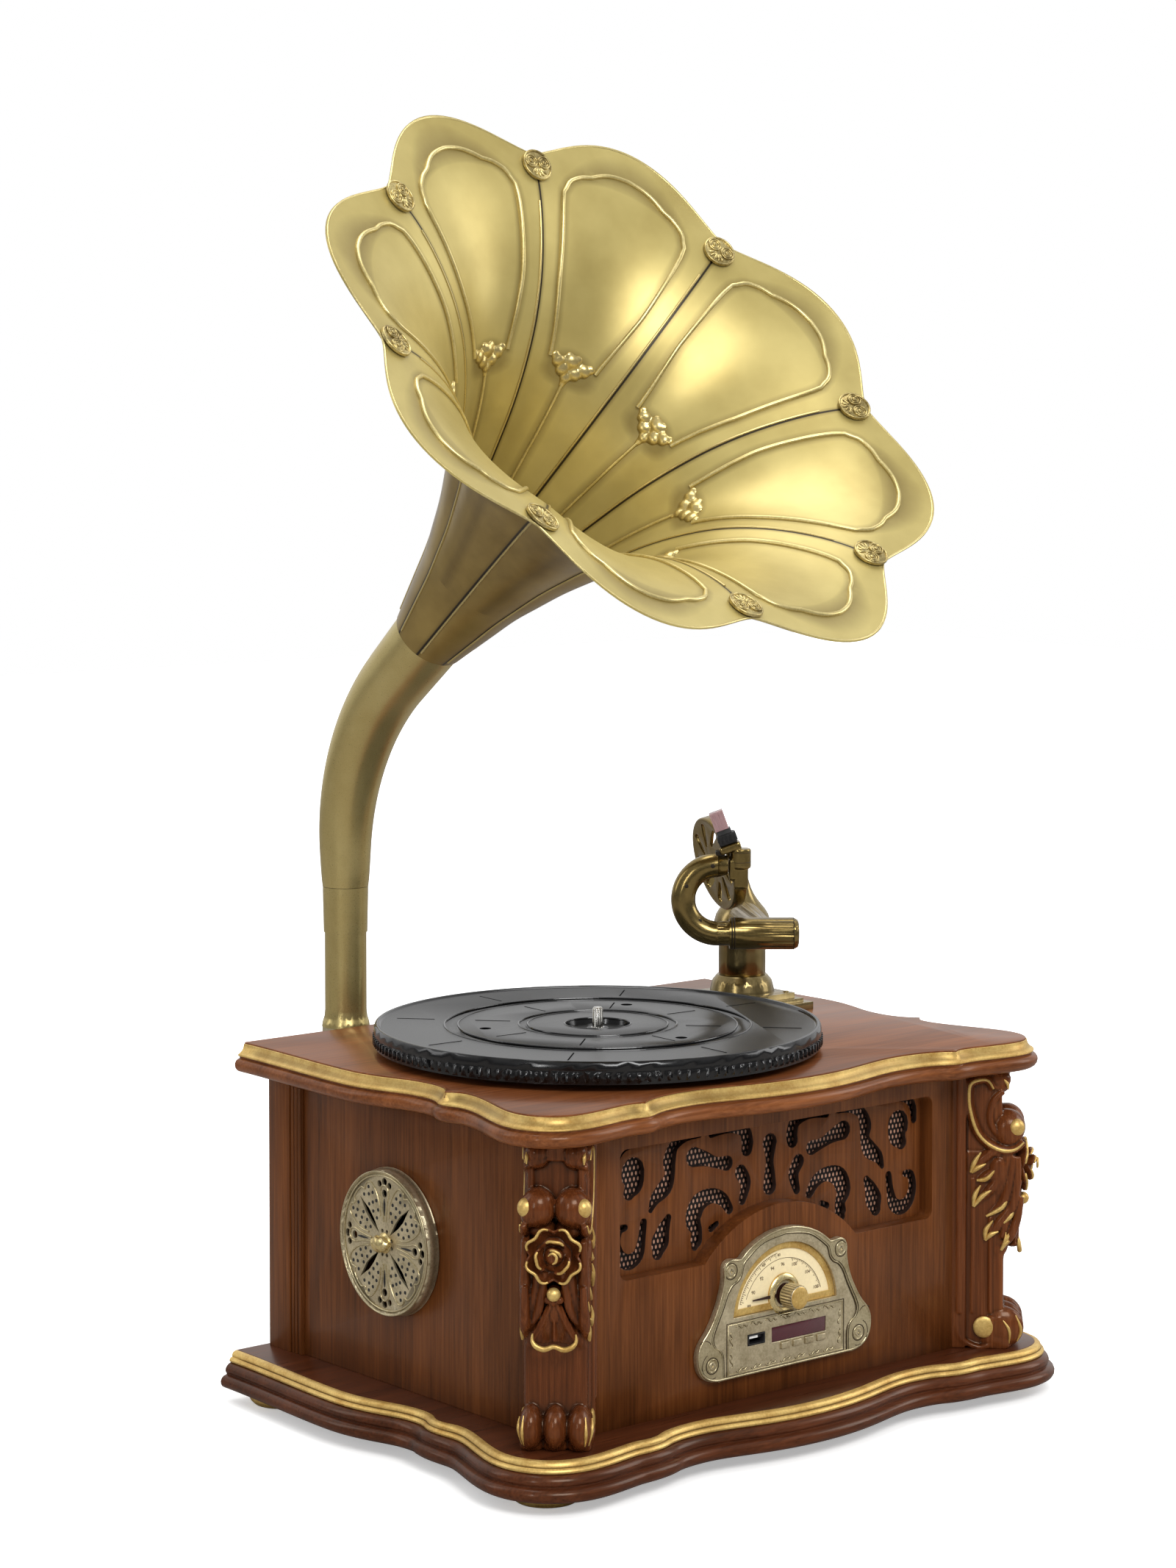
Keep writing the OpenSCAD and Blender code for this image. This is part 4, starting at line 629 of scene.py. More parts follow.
bell_rows = []
for back, share in BELL_PROFILE:
    radius = JOINT_R if back == 1 else BELL_R * share
    bell_rows.append([BELL_LEN * (1 - back), radius, PETAL_SWELL * min(1, max(0, (0.78 - back) / 0.6)), 0])
bell_rows.append([BELL_LEN + 1.2, BELL_R + NOTCH_OUT / 2, PETAL_SWELL + (PETAL_OUT - NOTCH_OUT) / 2 - 2, 2])
bell_rows.append([BELL_LEN + 2.5, BELL_R + NOTCH_OUT, PETAL_OUT - NOTCH_OUT, 5])
along = 0.0
bell_stations = []
for index, row in enumerate(bell_rows):
    if index:
        along += math.dist(row[:2], bell_rows[index - 1][:2])
    bell_stations.append((along, *row))
SEAM_LEN = along - 0.8


def bell_at(turn, v, lift=0.0):
    """A point of the bell in its own frame: turn in petals from a seam, v in mm from the joint."""
    v = max(0.0, min(SEAM_LEN, v))
    z, radius, extra, forward = curve_through(bell_stations, v)
    wave = math.sin(math.pi * (turn % 1)) ** 1.4 if turn % 1 else 0
    angle = BELL_ROLL + turn * math.tau / PETALS
    radius, z = radius + extra * wave, z + forward * wave
    if lift:
        z1, r1, e1, f1 = curve_through(bell_stations, max(0, v - 1.5))
        z2, r2, e2, f2 = curve_through(bell_stations, min(SEAM_LEN, v + 1.5))
        dz, dr = z2 - z1 + (f2 - f1) * wave, r2 - r1 + (e2 - e1) * wave
        size = math.hypot(dz, dr)
        radius, z = radius - lift * dz / size, z + lift * dr / size
    return Vector((radius * math.cos(angle), radius * math.sin(angle), z))


def bell_place(turn, v, lift=0.0):
    return at_bell @ bell_at(turn, v, lift)


WINDOW_SIDE = ((203, 0.25), (215, 0.228), (232, 0.194), (253, 0.16), (285, 0.146), (306, 0.144), (315, 0.15))
WINDOW_TOP = ((0.15, 315), (0.19, 323.5), (0.26, 329.2), (0.38, 332.8), (0.5, 333.8))


def window_outline(steps=26, top_steps=22):
    """The raised wire of one petal, as (turn, v): up one side, over the top and down the other."""
    foot, shoulder = WINDOW_SIDE[0][0], WINDOW_SIDE[-1][0]
    heights = [foot + (shoulder - foot) * k / steps for k in range(steps)]
    turns = [0.15 + 0.35 * k / top_steps for k in range(top_steps + 1)]
    half = [(curve_through(WINDOW_SIDE, v)[0], v) for v in heights]
    half += [(turn, curve_through(WINDOW_TOP, turn)[0]) for turn in turns]
    return half + [(1 - turn, v) for turn, v in reversed(half[:-1])]


outline = window_outline()
print("seam length", round(SEAM_LEN, 1), "mm, window points", len(outline))

# %% Roll the bell
def span_mm(turn, v):
    """Length round the bell of a turn, at v."""
    return turn * math.tau / PETALS * curve_through(bell_stations, v)[1]


def window_distance(turn, v):
    """Distance in mm from the window's wire, or from the stalk under it."""
    turn = turn % 1
    best = 99.0
    for (t1, v1), (t2, v2) in zip(outline, outline[1:]):
        if abs(v - v1) > 14 or abs(span_mm(turn - t1, v)) > 16:
            continue
        ax, ay = span_mm(t1, v), v1
        bx, by = span_mm(t2, v), v2
        px, py = span_mm(turn, v), v
        size = (bx - ax) ** 2 + (by - ay) ** 2
        share = 0 if size == 0 else max(0, min(1, ((px - ax) * (bx - ax) + (py - ay) * (by - ay)) / size))
        best = min(best, math.hypot(px - ax - share * (bx - ax), py - ay - share * (by - ay)))
    if 70 < v < 190:
        best = min(best, abs(span_mm(turn - 0.5, v)))
    if 150 < v < 245:
        best = min(best, max(0.0, math.hypot(span_mm(turn - 0.5, v) * 0.62, v - 197) - 8.5))
    return best


COLUMNS, ROWS = 8 * 30, 84
bell = rolled(COLUMNS, ROWS, lambda u, v: at_bell @ bell_at(u * PETALS, v * SEAM_LEN), merge=False)
count = len(bell.data.vertices)
seam_mm = bell.data.attributes.new("seam_mm", "FLOAT", "POINT")
wire_mm = bell.data.attributes.new("wire_mm", "FLOAT", "POINT")
width = COLUMNS + 1
for index in range(count):
    turn = (index % width) / COLUMNS * PETALS
    v = (index // width) / (count // width - 1) * SEAM_LEN
    phase = turn % 1
    seam_mm.data[index].value = span_mm(min(phase, 1 - phase), v)
    wire_mm.data[index].value = window_distance(phase, v)
merged(bell, 1e-6)
middle = at_bell @ Vector((0, 0, BELL_LEN / 2)) * MM
probe = bell.data.polygons[len(bell.data.polygons) // 2]
if probe.normal.dot(middle - probe.center) < 0:
    in_edit(bell, bpy.ops.mesh.flip_normals)


def shaded_tarnish_brass(name, deep, pale, rough):
    """Satin brass with a fine grain, dark beside the seams and the raised wires: painted shade in the creases, with
    tarnish.
    """
    made = Finish(name, Metallic=0.5)
    patches = made.noise(16, (1, 1, 1), 4, 0.55)
    around = made.noise(900, (1, 1, 1), 3, 0.6)
    colour = made.ramp(patches, (0.3, deep), (0.7, pale))
    seam_far, wire_far = (node_in(made.tree, "Attribute", attribute_name=name).outputs["Fac"]
                          for name in ("seam_mm", "wire_mm"))
    seam = made.span(seam_far, 1, 0, 0.5, 3.2)
    line = made.span(seam_far, 1, 0, 0.4, 1.1)
    wire = made.span(wire_far, 1, 0, 1.2, 6.0)
    # Painted shade beside the seams and wires, together with tarnish.
    crease_shade_and_tarnish = made.calc("MAXIMUM", made.calc("MULTIPLY", seam, 0.55), made.calc("MULTIPLY", wire, 0.5))
    colour = made.mix(crease_shade_and_tarnish, colour, rgb(96, 76, 34))
    colour = made.mix(line, colour, rgb(34, 26, 14))
    made.feed(colour, "Base Color")
    made.feed(made.span(around, rough, rough + 0.12), "Roughness")
    made.bump(around, 0.06, 0.0002)
    return made.material


bell.data.materials.append(shaded_tarnish_brass("bell_brass", rgb(172, 154, 90), rgb(197, 180, 113), 0.32))
# The outside is a darker copy of the brass: painted shade on the face turned away from the lamps.
bell.data.materials.append(shaded_tarnish_brass("bell_brass_outside_painted_shade", rgb(106, 84, 38), rgb(150, 126, 68), 0.24))
thicken(bell, WALL, behind=1)
smooth(bell, 50)
fit(bell, "bell_sheet", "horn", "bell_brass", "horn_bell")
print("bell points", len(bell.data.vertices))

# %% [markdown]
# The wires are the raised lines: a window in each petal, a stalk below it, a bead beside each
# seam on both faces, and the rolled rim. A wire that is half sunk in the sheet looks pressed.

# %% Wires of the bell
def on_bell(points, lift=0.0):
    return [bell_place(turn, v, lift) * MM for turn, v in points]


# The raised wires and the rim get a paler brass: a painted highlight.
finish["highlit_wire_brass"] = metal("highlit_wire_brass", rgb(188, 170, 108), rgb(222, 206, 146), 0.8, 0.26, 40.0, edge=False)
window_runs = [on_bell([(k + t, v) for t, v in outline], 0.35) for k in range(PETALS)]
window_wires = wires(window_runs, 1.55, closed=False, sides=3)
fit(window_wires, "window_wires", "horn", "highlit_wire_brass", slot="horn_brass")
stalk_runs = [on_bell([(k + 0.5, 62 + 126 * i / 30) for i in range(31)], 0.15) for k in range(PETALS)]
stalks = wires(stalk_runs, 1.25, closed=False)
fit(stalks, "petal_stalks", "horn", "highlit_wire_brass", slot="horn_brass")
seam_heights = [6 + 300 * i / 45 for i in range(46)]
seam_runs = [on_bell([(k + 1.5 / span_mm(1, v), v) for v in seam_heights], lift)
             for k in range(PETALS) for lift in (0.0, -WALL)]
seams = wires(seam_runs, 0.85, closed=False)
fit(seams, "seam_beads", "horn", "horn_brass", slot="horn_brass")
rim_steps = 8 * 28
rim = wires([on_bell([(PETALS * i / rim_steps, SEAM_LEN - 0.5) for i in range(rim_steps)], -WALL / 2)], 0.9)
fit(rim, "rolled_rim", "horn", "highlit_wire_brass", slot="horn_brass")

# %% [markdown]
# A leaf with three lobes closes each window at its foot. It is a cluster of balls, fused by a
# remesh, flattened, and then bent onto the petal point by point. Its back stays in the sheet.

# %% Leaves at the windows' feet
LEAF_BALLS = (
    (0, 5.5, 5.2), (-9.5, 3.5, 4.6), (9.5, 3.5, 4.6), (-13.5, 7.0, 3.0), (13.5, 7.0, 3.0), (-4.6, -1.5, 4.6),
    (4.6, -1.5, 4.6), (0, -6.5, 3.6), (0, -11, 2.4), (-3.4, 8.6, 3.0), (3.4, 8.6, 3.0),
)
balls = []
for x, y, radius in LEAF_BALLS:
    deselect()
    bpy.ops.mesh.primitive_uv_sphere_add(segments=20, ring_count=12, radius=radius * MM,
                                         location=(x * MM, y * MM, 0))
    balls.append(bpy.context.object)
leaf = joined(*balls)
bpy.ops.object.transform_apply(location=True)
change(leaf, "REMESH", mode="VOXEL", voxel_size=0.8 * MM)
change(leaf, "SMOOTH", iterations=9)
leaf_points = [point.co.copy() for point in leaf.data.vertices]
leaf_at_v = 197.0
leaves = copies(leaf, [Matrix.Identity(4)] * PETALS)
for k, one in enumerate(leaves):
    for point, flat in zip(one.data.vertices, leaf_points):
        v = leaf_at_v + flat.y / MM
        lift = max(-WALL / 2, flat.z / MM * 0.62)
        point.co = bell_place(k + 0.5 + flat.x / MM / span_mm(1, v), v, lift) * MM
    one.data.update()
leaf_sprays = joined(*leaves)
facing_out(leaf_sprays)
smooth(leaf_sprays, 60)
fit(leaf_sprays, "leaf_sprays", "horn", "horn_brass", slot="horn_brass")

# %% [markdown]
# A medallion of two ringed rosettes and a small fan hides the end of each seam. It is modelled
# once from discs, rings and studs and copied to the eight notches.

# %% Medallions
def disc(radius, height, place=(0, 0, 0), sides=48, taper=0.0, sink=0.0):
    """A round plate, whose top a taper narrows; its foot is at place."""
    deselect()
    bpy.ops.mesh.primitive_cone_add(
        vertices=sides, radius1=radius * MM, radius2=(radius - taper) * MM, depth=(height + sink) * MM,
        location=(place[0] * MM, place[1] * MM, (place[2] + (height - sink) / 2) * MM))
    piece = bpy.context.object
    bpy.ops.object.transform_apply(location=True)
    return piece


def ring(radius, thick, place=(0, 0, 0), around=40, section=10):
    deselect()
    bpy.ops.mesh.primitive_torus_add(
        major_segments=around, minor_segments=section, major_radius=radius * MM, minor_radius=thick * MM,
        location=tuple(c * MM for c in place))
    piece = bpy.context.object
    bpy.ops.object.transform_apply(location=True)
    return piece


def rounded(piece, width, segments=2, angle=40):
    bevel(piece, width, segments, angle)
    smooth(piece, 50)
    return piece


parts = [rounded(disc(11.6, 1.5), 0.5), ring(10.9, 0.75, (0, 0, 1.5))]
for side in (-1, 1):
    parts.append(rounded(disc(4.9, 0.9, (1.8, 5.3 * side, 1.2)), 0.4))
    parts += [ring(4.5, 0.5, (1.8, 5.3 * side, 2.2)), ring(2.9, 0.42, (1.8, 5.3 * side, 2.2))]
    parts.append(rounded(disc(1.3, 0.9, (1.8, 5.3 * side, 2.0), 20), 0.35))
for k in (-2, -1, 0, 1, 2):
    turn = math.radians(180 + 24 * k)
    deselect()
    bpy.ops.mesh.primitive_uv_sphere_add(segments=14, ring_count=8, radius=1.0 * MM, location=(0, 0, 0))
    leaf_rib = bpy.context.object
    leaf_rib.scale = (3.2, 1.0, 0.8)
    leaf_rib.rotation_euler = (0, 0, turn)
    leaf_rib.location = ((-1.4 + 5.0 * math.cos(turn)) * MM, 5.0 * math.sin(turn) * MM, 1.7 * MM)
    bpy.ops.object.transform_apply(location=True, rotation=True, scale=True)
    parts.append(leaf_rib)
parts.append(disc(1.9, 3.4, (0, 0, -3.4), 20))
medallion = joined(*parts)
smooth(medallion, 45)
places = []
for k in range(PETALS):
    spot = at_bell @ Matrix.Rotation(BELL_ROLL + math.tau * k / PETALS, 4, "Z")
    spot = spot @ Matrix.Translation((BELL_R + 0.5, 0, BELL_LEN + 0.9))
    spot = spot @ Matrix.Rotation(math.radians(-14), 4, "Y")
    places.append(Matrix.Scale(MM, 4) @ spot @ Matrix.Scale(1 / MM, 4))
medallions = joined(*copies(medallion, places))
# The medallions are dark in their hollows: tarnish together with painted shade.
finish["aged_shaded_brass"] = metal("aged_shaded_brass", rgb(112, 92, 46), rgb(214, 196, 134), 0.85, 0.24, 60.0)
fit(medallions, "rim_medallions", "horn", "aged_shaded_brass", "horn_medallions")

# %% [markdown]
# The elbow is rolled in the same way along its bent centre line, and a thin bead marks the joint
# between elbow and bell.

# %% Elbow and joint bead
def elbow_point(u, v):
    forward, up, slope = elbow_at(ELBOW_LEN * v)
    radius = ELBOW_R + (JOINT_R - ELBOW_R) * v ** 0.75
    angle = -u * math.tau
    side, across = radius * math.cos(angle), radius * math.sin(angle)
    return at_horn @ Vector((forward + side * math.cos(slope), across, up - side * math.sin(slope)))


elbow = rolled(56, 60, elbow_point)
probe = elbow.data.polygons[0]
if probe.normal.dot(probe.center - (at_horn @ Vector((0, 0, ELBOW_Z))) * MM) < 0:
    in_edit(elbow, bpy.ops.mesh.flip_normals)
thicken(elbow, WALL)
smooth(elbow, 50)
fit(elbow, "elbow_tube", "horn", "horn_brass", "horn_elbow")
joint_points = [(at_bell @ Vector((JOINT_R * math.cos(a), JOINT_R * math.sin(a), 0))) * MM
                for a in (math.tau * i / 72 for i in range(72))]
joint_bead = wires([joint_points], 0.9)
fit(joint_bead, "joint_bead", "horn", "horn_brass", slot="horn_brass")
print("horn pieces made")

# %% [markdown]
# ## The two boards
# Top and base share one outline of curves: a swell in front, a cusp before each round corner and
# two waists on each side. Each board is a band moulded round that outline, closed above and
# below. The gold lines are bands of their own, let into the wood.

# %% The boards
HALF_W, FRONT_Y, BOARD_BACK = 191.0, -154.0, 158.5
TOP_LEVEL, BASE_LEVEL = 245, 33
OUTLINE_STEPS = 14
OUTLINE_CURVES = (
    ((0, -179), (45.84, -179), (65, -164.5), (95, -164.5)),
    ((95, -164.5), (115, -164.5), (130, -168.5), (139, -176.5)),
    ((139, -176.5), (147, -168), (172, -178.5), (192, -178.5)),
    ((192, -178.5), (210, -178.5), (221, -167.5), (221, -149.5)),
    ((221, -149.5), (221, -126), (192, -81), (213, -68.5)),
    ((213, -68.5), (203, -61), (201.5, -45), (203, -33)),
    ((203, -33), (204.5, -13), (216, 1), (216, 33)),
    ((216, 33), (216, 69), (211, 114), (211, 158.5)),
)


def bezier(points, t):
    """A point of a curve between the first and last of four points, pulled by the two between."""
    shares = ((1 - t) ** 3, 3 * t * (1 - t) ** 2, 3 * t * t * (1 - t), t ** 3)
    return [sum(share * point[i] for share, point in zip(shares, points)) for i in (0, 1)]


half_line = [bezier(c, i / OUTLINE_STEPS) for c in OUTLINE_CURVES for i in range(OUTLINE_STEPS)] + [[211, 158.5]]
board_line = [Vector(p) for p in half_line + [[-x, y] for x, y in reversed(half_line[1:])]]


def outward(line, index):
    """How a point moves when the outline grows by 1 mm; the back edge stays flat."""
    here, before, after = line[index], line[index - 1], line[(index + 1) % len(line)]
    if here.y > BOARD_BACK - 0.01:
        return Vector((math.copysign(1, here.x), 0))
    a, b = (here - before).normalized(), (after - here).normalized()
    return (Vector((a.y, -a.x)) + Vector((b.y, -b.x))).normalized()


def near_cusp(line, index, reach=5):
    """True beside a sharp turn of the outline, away from the back."""
    for k in range(index - reach, index + reach + 1):
        a, b, c = (line[j % len(line)] for j in (k - 1, k, k + 1))
        if (b - a).normalized().dot((c - b).normalized()) < 0.85 and b.y < BOARD_BACK - 1:
            return True
    return False


board_shift = [outward(board_line, i) for i in range(len(board_line))]
cusp_here = [near_cusp(board_line, i) for i in range(len(board_line))]


def grown(out):
    """The outline pushed outwards; the further out, the more its cusps are rounded."""
    line = [point + shift * out for point, shift in zip(board_line, board_shift)]
    for _ in range(round(max(0, out) * 0.5)):
        line = [(line[i - 1] + 2 * line[i] + line[(i + 1) % len(line)]) / 4 if cusp_here[i] else line[i]
                for i in range(len(line))]
    return line


def moulded(profile, top, closed_path=False):
    """A band round the outline. A profile point is [outward, down] in mm, from the foot upwards."""
    around = len(board_line)
    path = list(profile) + ([profile[0]] if closed_path else [])
    lines = [grown(out) for out, down in path]

    def place(u, v):
        k = round(u * around) % around
        row = round(v * (len(path) - 1))
        return lines[row][k].x, lines[row][k].y, top - path[row][1]

    piece = rolled(around, len(path) - 1, place)
    if not closed_path:
        in_edit(piece, lambda: bpy.ops.mesh.select_all(action="DESELECT"),
                lambda: bpy.ops.mesh.select_non_manifold(extend=False, use_boundary=True, use_wire=False,
                                                         use_multi_face=False, use_non_contiguous=False,
                                                         use_verts=False),
                bpy.ops.mesh.edge_face_add)
    facing_out(piece)
    smooth(piece, 32)
    return piece


TOP_WOOD = (
    (4, 20), (5.6, 19.7), (7.3, 18.6), (8.5, 17), (9, 15), (8.8, 13.4), (7.9, 11.9), (6.5, 10.9), (5.3, 10.6),
    (4.9, 10.3), (4.9, 8.9), (3.4, 8.2), (0.2, 1.6), (0.7, 1.0), (0.6, 0.35), (0, 0),
)
TOP_GOLD = (
    (4.4, 9.2), (5.8, 9.2), (6.3, 8.6), (6.1, 7.8), (4.9, 7.1), (3.4, 6.0), (2.2, 4.4), (1.6, 2.7), (1.4, 1.4),
    (0.9, 1.1), (0.3, 1.4), (0.2, 2.2),
)
BASE_WOOD = (
    (7.5, 24.5), (9.8, 24.2), (11.6, 23.1), (12.6, 21.4), (12.8, 19.4), (12.0, 17.4), (10.4, 16.1), (8.6, 15.6),
    (7.9, 15.3), (7.9, 14.5), (8.5, 13.9), (8.9, 12.6), (8.5, 11.0), (7.6, 9.6), (6.3, 8.5), (4.9, 7.9),
    (4.2, 7.7), (2.2, 7.2), (-1.2, 1.4), (-1.2, 0.2), (-2, 0),
)
BASE_GOLD = (
    (1.8, 7.6), (4.4, 7.7), (5.3, 7.0), (5.5, 6.0), (5.0, 5.0), (4.0, 4.3), (3.3, 4.2), (3.2, 3.8), (3.4, 3.1),
    (3.0, 1.9), (2.1, 0.9), (0.8, 0.3), (-0.6, 0.1), (-1.4, 0.5), (-1.2, 1.8),
)
BASE_MORE = 9.0
base_wood, base_gold = ([(out + BASE_MORE, down) for out, down in path] for path in (BASE_WOOD, BASE_GOLD))
for level, wood_path, wood_name, wood, board, gold_path, gold_name in (
        (TOP_LEVEL, TOP_WOOD, "top_board_moulded", "top_wood", "top_board", TOP_GOLD, "top_gold_cove"),
        (BASE_LEVEL, base_wood, "base_board_moulded", "edge_wood", "base_board", base_gold, "base_gold_beads")):
    fit(moulded(wood_path, level), wood_name, "cabinet", wood, board)
    fit(moulded(gold_path, level, closed_path=True), gold_name, "cabinet", "gold_paint", slot="gold_paint")
print("boards made round", len(board_line), "points")

# %% [markdown]
# ## The carved corner columns
# A carver roughs out a block and then cuts scrolls, leaves and a rose into it. Here the rough
# shapes are laid over each other and fused by a remesh, which rounds every inner corner as a
# gouge does. The gilder's strokes stay pieces of their own. Sizes are in mm: x across the
# bevelled corner, y out of it and z up. The left column is the mirrored right one.

# %% Shapes to carve with
def block(low, high, width=1.2):
    deselect()
    size = [b - a for a, b in zip(low, high)]
    bpy.ops.mesh.primitive_cube_add(size=1, location=tuple((a + b) / 2 * MM for a, b in zip(low, high)),
                                    scale=tuple(s * MM for s in size))
    piece = bpy.context.object
    bpy.ops.object.transform_apply(location=True, scale=True)
    if width:
        bevel(piece, width)
    return piece


def flank(side, low, high, width=1.2):
    """A block on one side; its sizes are those of the right one."""
    ends = sorted((low[0] * side, high[0] * side))
    return block((ends[0], *low[1:]), (ends[1], *high[1:]), width)


def ball(place, radii, turn=(0, 0, 0), segments=28):
    deselect()
    bpy.ops.mesh.primitive_uv_sphere_add(segments=segments, ring_count=segments // 2, radius=MM)
    piece = bpy.context.object
    piece.scale = radii
    piece.rotation_euler = [math.radians(a) for a in turn]
    piece.location = Vector(place) * MM
    bpy.ops.object.transform_apply(location=True, rotation=True, scale=True)
    return piece


def softened(run, steps=5):
    """More points along a run of stations, such as (x, y, z, radius)."""
    stations = [(k, *point) for k, point in enumerate(run)]
    return [curve_through(stations, k / steps) for k in range(steps * (len(run) - 1))] + [list(run[-1])]


def strokes(*runs, sides=2):
    """Tapered round strokes through stations (x, y, z, radius) in mm, closed at both ends."""
    fine = [[(Vector((x, y, z)) * MM, max(0.05, radius)) for x, y, z, radius in softened(run)] for run in runs]
    return drawn_line(fine, 1, sides, True)


def fused(parts, voxel, smoothing=2):
    """One skin round all the parts, with its inner corners rounded."""
    piece = joined(*parts)
    change(piece, "REMESH", mode="VOXEL", voxel_size=voxel * MM, use_smooth_shade=True)
    change(piece, "SMOOTH", iterations=smoothing)
    smooth(piece, 70)
    return piece


def both(run):
    """A run and its mirror image across x."""
    return [run, [(-x, y, z, radius) for x, y, z, radius in run]]


# %% Carve the column
carved = [
    block((-22, -7, 33), (22, 5.5, 225), 0.8), block((-19.5, 3, 33), (19.5, 31.5, 170), 2.2),
    block((-15, 3, 160), (15, 27, 225), 1.5), block((-5, 20, 213.6), (5, 33.2, 225), 0.9),
    ball((0, 15, 112), (17, 18.5, 60)),
]
for side in (-1, 1):
    carved += [
        flank(side, (8, 6, 168), (18.5, 27.5, 225), 1.4),
        ball((12 * side, 26.5, 218.2), (7.6, 9.8, 7.8)), ball((12 * side, 27.5, 213.8), (7.4, 7.6, 5.4)),
        flank(side, (14, 20, 190), (17.8, 30.2, 215), 1.2),
        ball((10.6 * side, 34, 185), (11.2, 12.4, 12.6)), ball((15.4 * side, 34.6, 183.6), (7, 10.6, 11.4)),
        ball((9 * side, 30, 172), (9, 9, 7)),
        ball((14.6 * side, 28, 140), (5, 9, 26), (0, 14 * side, 0)),
        ball((12.5 * side, 27, 108), (6, 8.5, 14), (0, -20 * side, 0)),
    ]
c_scroll = [(24.1, 212.9), (21.2, 217.6), (17.8, 219.3), (11.1, 218), (7.9, 214.6), (7.3, 207), (7.9, 200.2),
            (10.3, 190), (13.6, 182.3), (18.7, 176.4), (25.4, 172.1), (32.9, 170.2), (39.7, 171.7), (45, 176.4)]
size_at = [0.7, 1.0, 1.3, 1.5, 1.5, 1.5, 1.5, 1.5, 1.5, 1.5, 1.6, 1.6, 1.2, 0.6]
wood_runs = both([(19.0, y, z, 1.5 + r) for (y, z), r in zip(c_scroll, size_at)])
inner_c = [(31, 211), (25.5, 206), (22.5, 199), (22, 191), (25, 184), (31, 179), (38, 177)]
wood_runs += both([(18.2, y, z, 2.2) for y, z in inner_c])
leaf_lobes = (
    ((29, 166), (24, 169), (16, 163), (9, 155)), ((32, 166.5), (27, 158), (19, 152), (12, 149)),
    ((35, 167), (31, 155), (22, 143), (10.5, 131.5)), ((38, 166.5), (36, 152), (31, 134), (19.5, 125)),
    ((41, 166), (40.5, 148), (37, 131), (30, 119)), ((42, 150), (37, 133), (27, 118), (18.7, 108.4)),
    ((43, 138), (41, 124), (36, 111), (29.6, 101.6)),
)
for lobe in leaf_lobes:
    stations = zip((18.1, 18.6, 18.6, 18.6), lobe, (2.3, 2.9, 3.5, 0.9))
    wood_runs += both([(x, y, z, radius) for x, (y, z), radius in stations])
RIB_FOOT = 58
for x, y, top, thick in ((20.8, 1.2, 222, 2.6), (19.6, 10.4, 150, 1.0), (19.8, 22.4, 124, 1.2)):
    wood_runs += both([(x, y, z, thick) for z in (RIB_FOOT, (RIB_FOOT + top) / 2, top)])
scroll_foot = [(-0.7, 58), (-0.7, 48.9), (2.7, 39.5), (13.6, 33.6), (22.9, 35.8), (27.1, 42.9), (27.9, 54.8)]
wood_runs += both([(20.6, y, z, 1.9) for y, z in scroll_foot])
front_ridges = (
    ((5.5, 42, 147, 2.2), (7.5, 41, 133, 2.6), (10.5, 39, 120, 2.6), (17.5, 33, 107, 1.2)),
    ((9.5, 40, 150, 2.2), (11.8, 39, 134, 2.7), (15.2, 36, 118, 2.7), (20.4, 31, 105, 1.0)),
    ((14, 37, 152, 2.2), (16, 36, 137, 2.6), (18.4, 33.5, 122, 2.6), (21, 30, 110, 1.0)),
)
for run in front_ridges:
    wood_runs += both(list(run))
carved.append(strokes(*wood_runs, sides=3))
for x in (-15.2, 0, 15.2):
    carved += [ball((x, 30.6, 47), (8.0, 15.2, 14.6)), ball((x, 27, 39), (7.6, 13.4, 8.6)),
               block((x - 7.2, 20, 32), (x + 7.2, 36, 56), 3)]
carved += [ball((0, 36, 131.5), (5.6, 7.6, 6.4)), ball((0, 32, 157.5), (14, 9, 14))]
print("rough shapes", len(carved))

# %% [markdown]
# The rose is three rings of petals. Each petal is a small grid set in a cup with a wavy edge; a
# gold stroke follows the edge. The fan below is one more grid, with a rib between two flutes.

# %% The rose and the fan
ROSE_Z = 157.5


def petal_at(centre, half, near, far, deep, edge, ruffle):
    def place(u, v):
        across = 2 * u - 1
        turn = math.radians(centre + half * across)
        radius = near + (far - near) * v * (1 - 0.15 * abs(across) ** 3)
        radius += ruffle * v * -math.cos(2 * math.pi * across)
        depth = deep + (edge - deep) * v ** 2.2 - 2.6 * across ** 2 - 1.6 * math.sin(math.pi * v)
        return radius * math.cos(turn), depth, ROSE_Z + radius * math.sin(turn)
    return place


# Each petal: its middle in degrees, half its width, near and far edge, two depths, and the ruffle.
petal_rings = [(45 + 90 * k, 46, 5, 17.0, 42.0, 47.5, 1.15) for k in range(4)]
petal_rings += [(angle, 44, 3, 10.4, 45.5, 51.5, 0.2) for angle in (82, 192, 318)]
petal_rings += [(60, 62, 1.5, 5.2, 48.5, 53.6, 0.1)]
rose_parts, gilded = [ball((0, 42, ROSE_Z), (6, 9.5, 6)), ball((0, 36, ROSE_Z), (12.5, 9, 12.5))], []
for sizes in petal_rings:
    place = petal_at(*sizes)
    rose_parts.append(thicken(rolled(18, 8, place, merge=False), 1.5))
    shares = [i / 14 for i in range(2, 13)]
    gilded.append([(*place(u, 1), 0.95 * math.sin(math.pi * u) ** 0.5 + 0.1) for u in shares])


def fan_place(u, v):
    across = 2 * u - 1
    half = 2.6 + 10.8 * v ** 1.5
    depth = 43.5 - 1.5 * v - 5.5 * v * (1 - abs(across) ** 4) + 4.2 * v * math.exp(-(across / 0.16) ** 2)
    drop = 127 - 26.5 * v + 2.2 * v * math.exp(-(across / 0.3) ** 2) + 2.5 * v * across ** 4
    return across * half, depth, drop


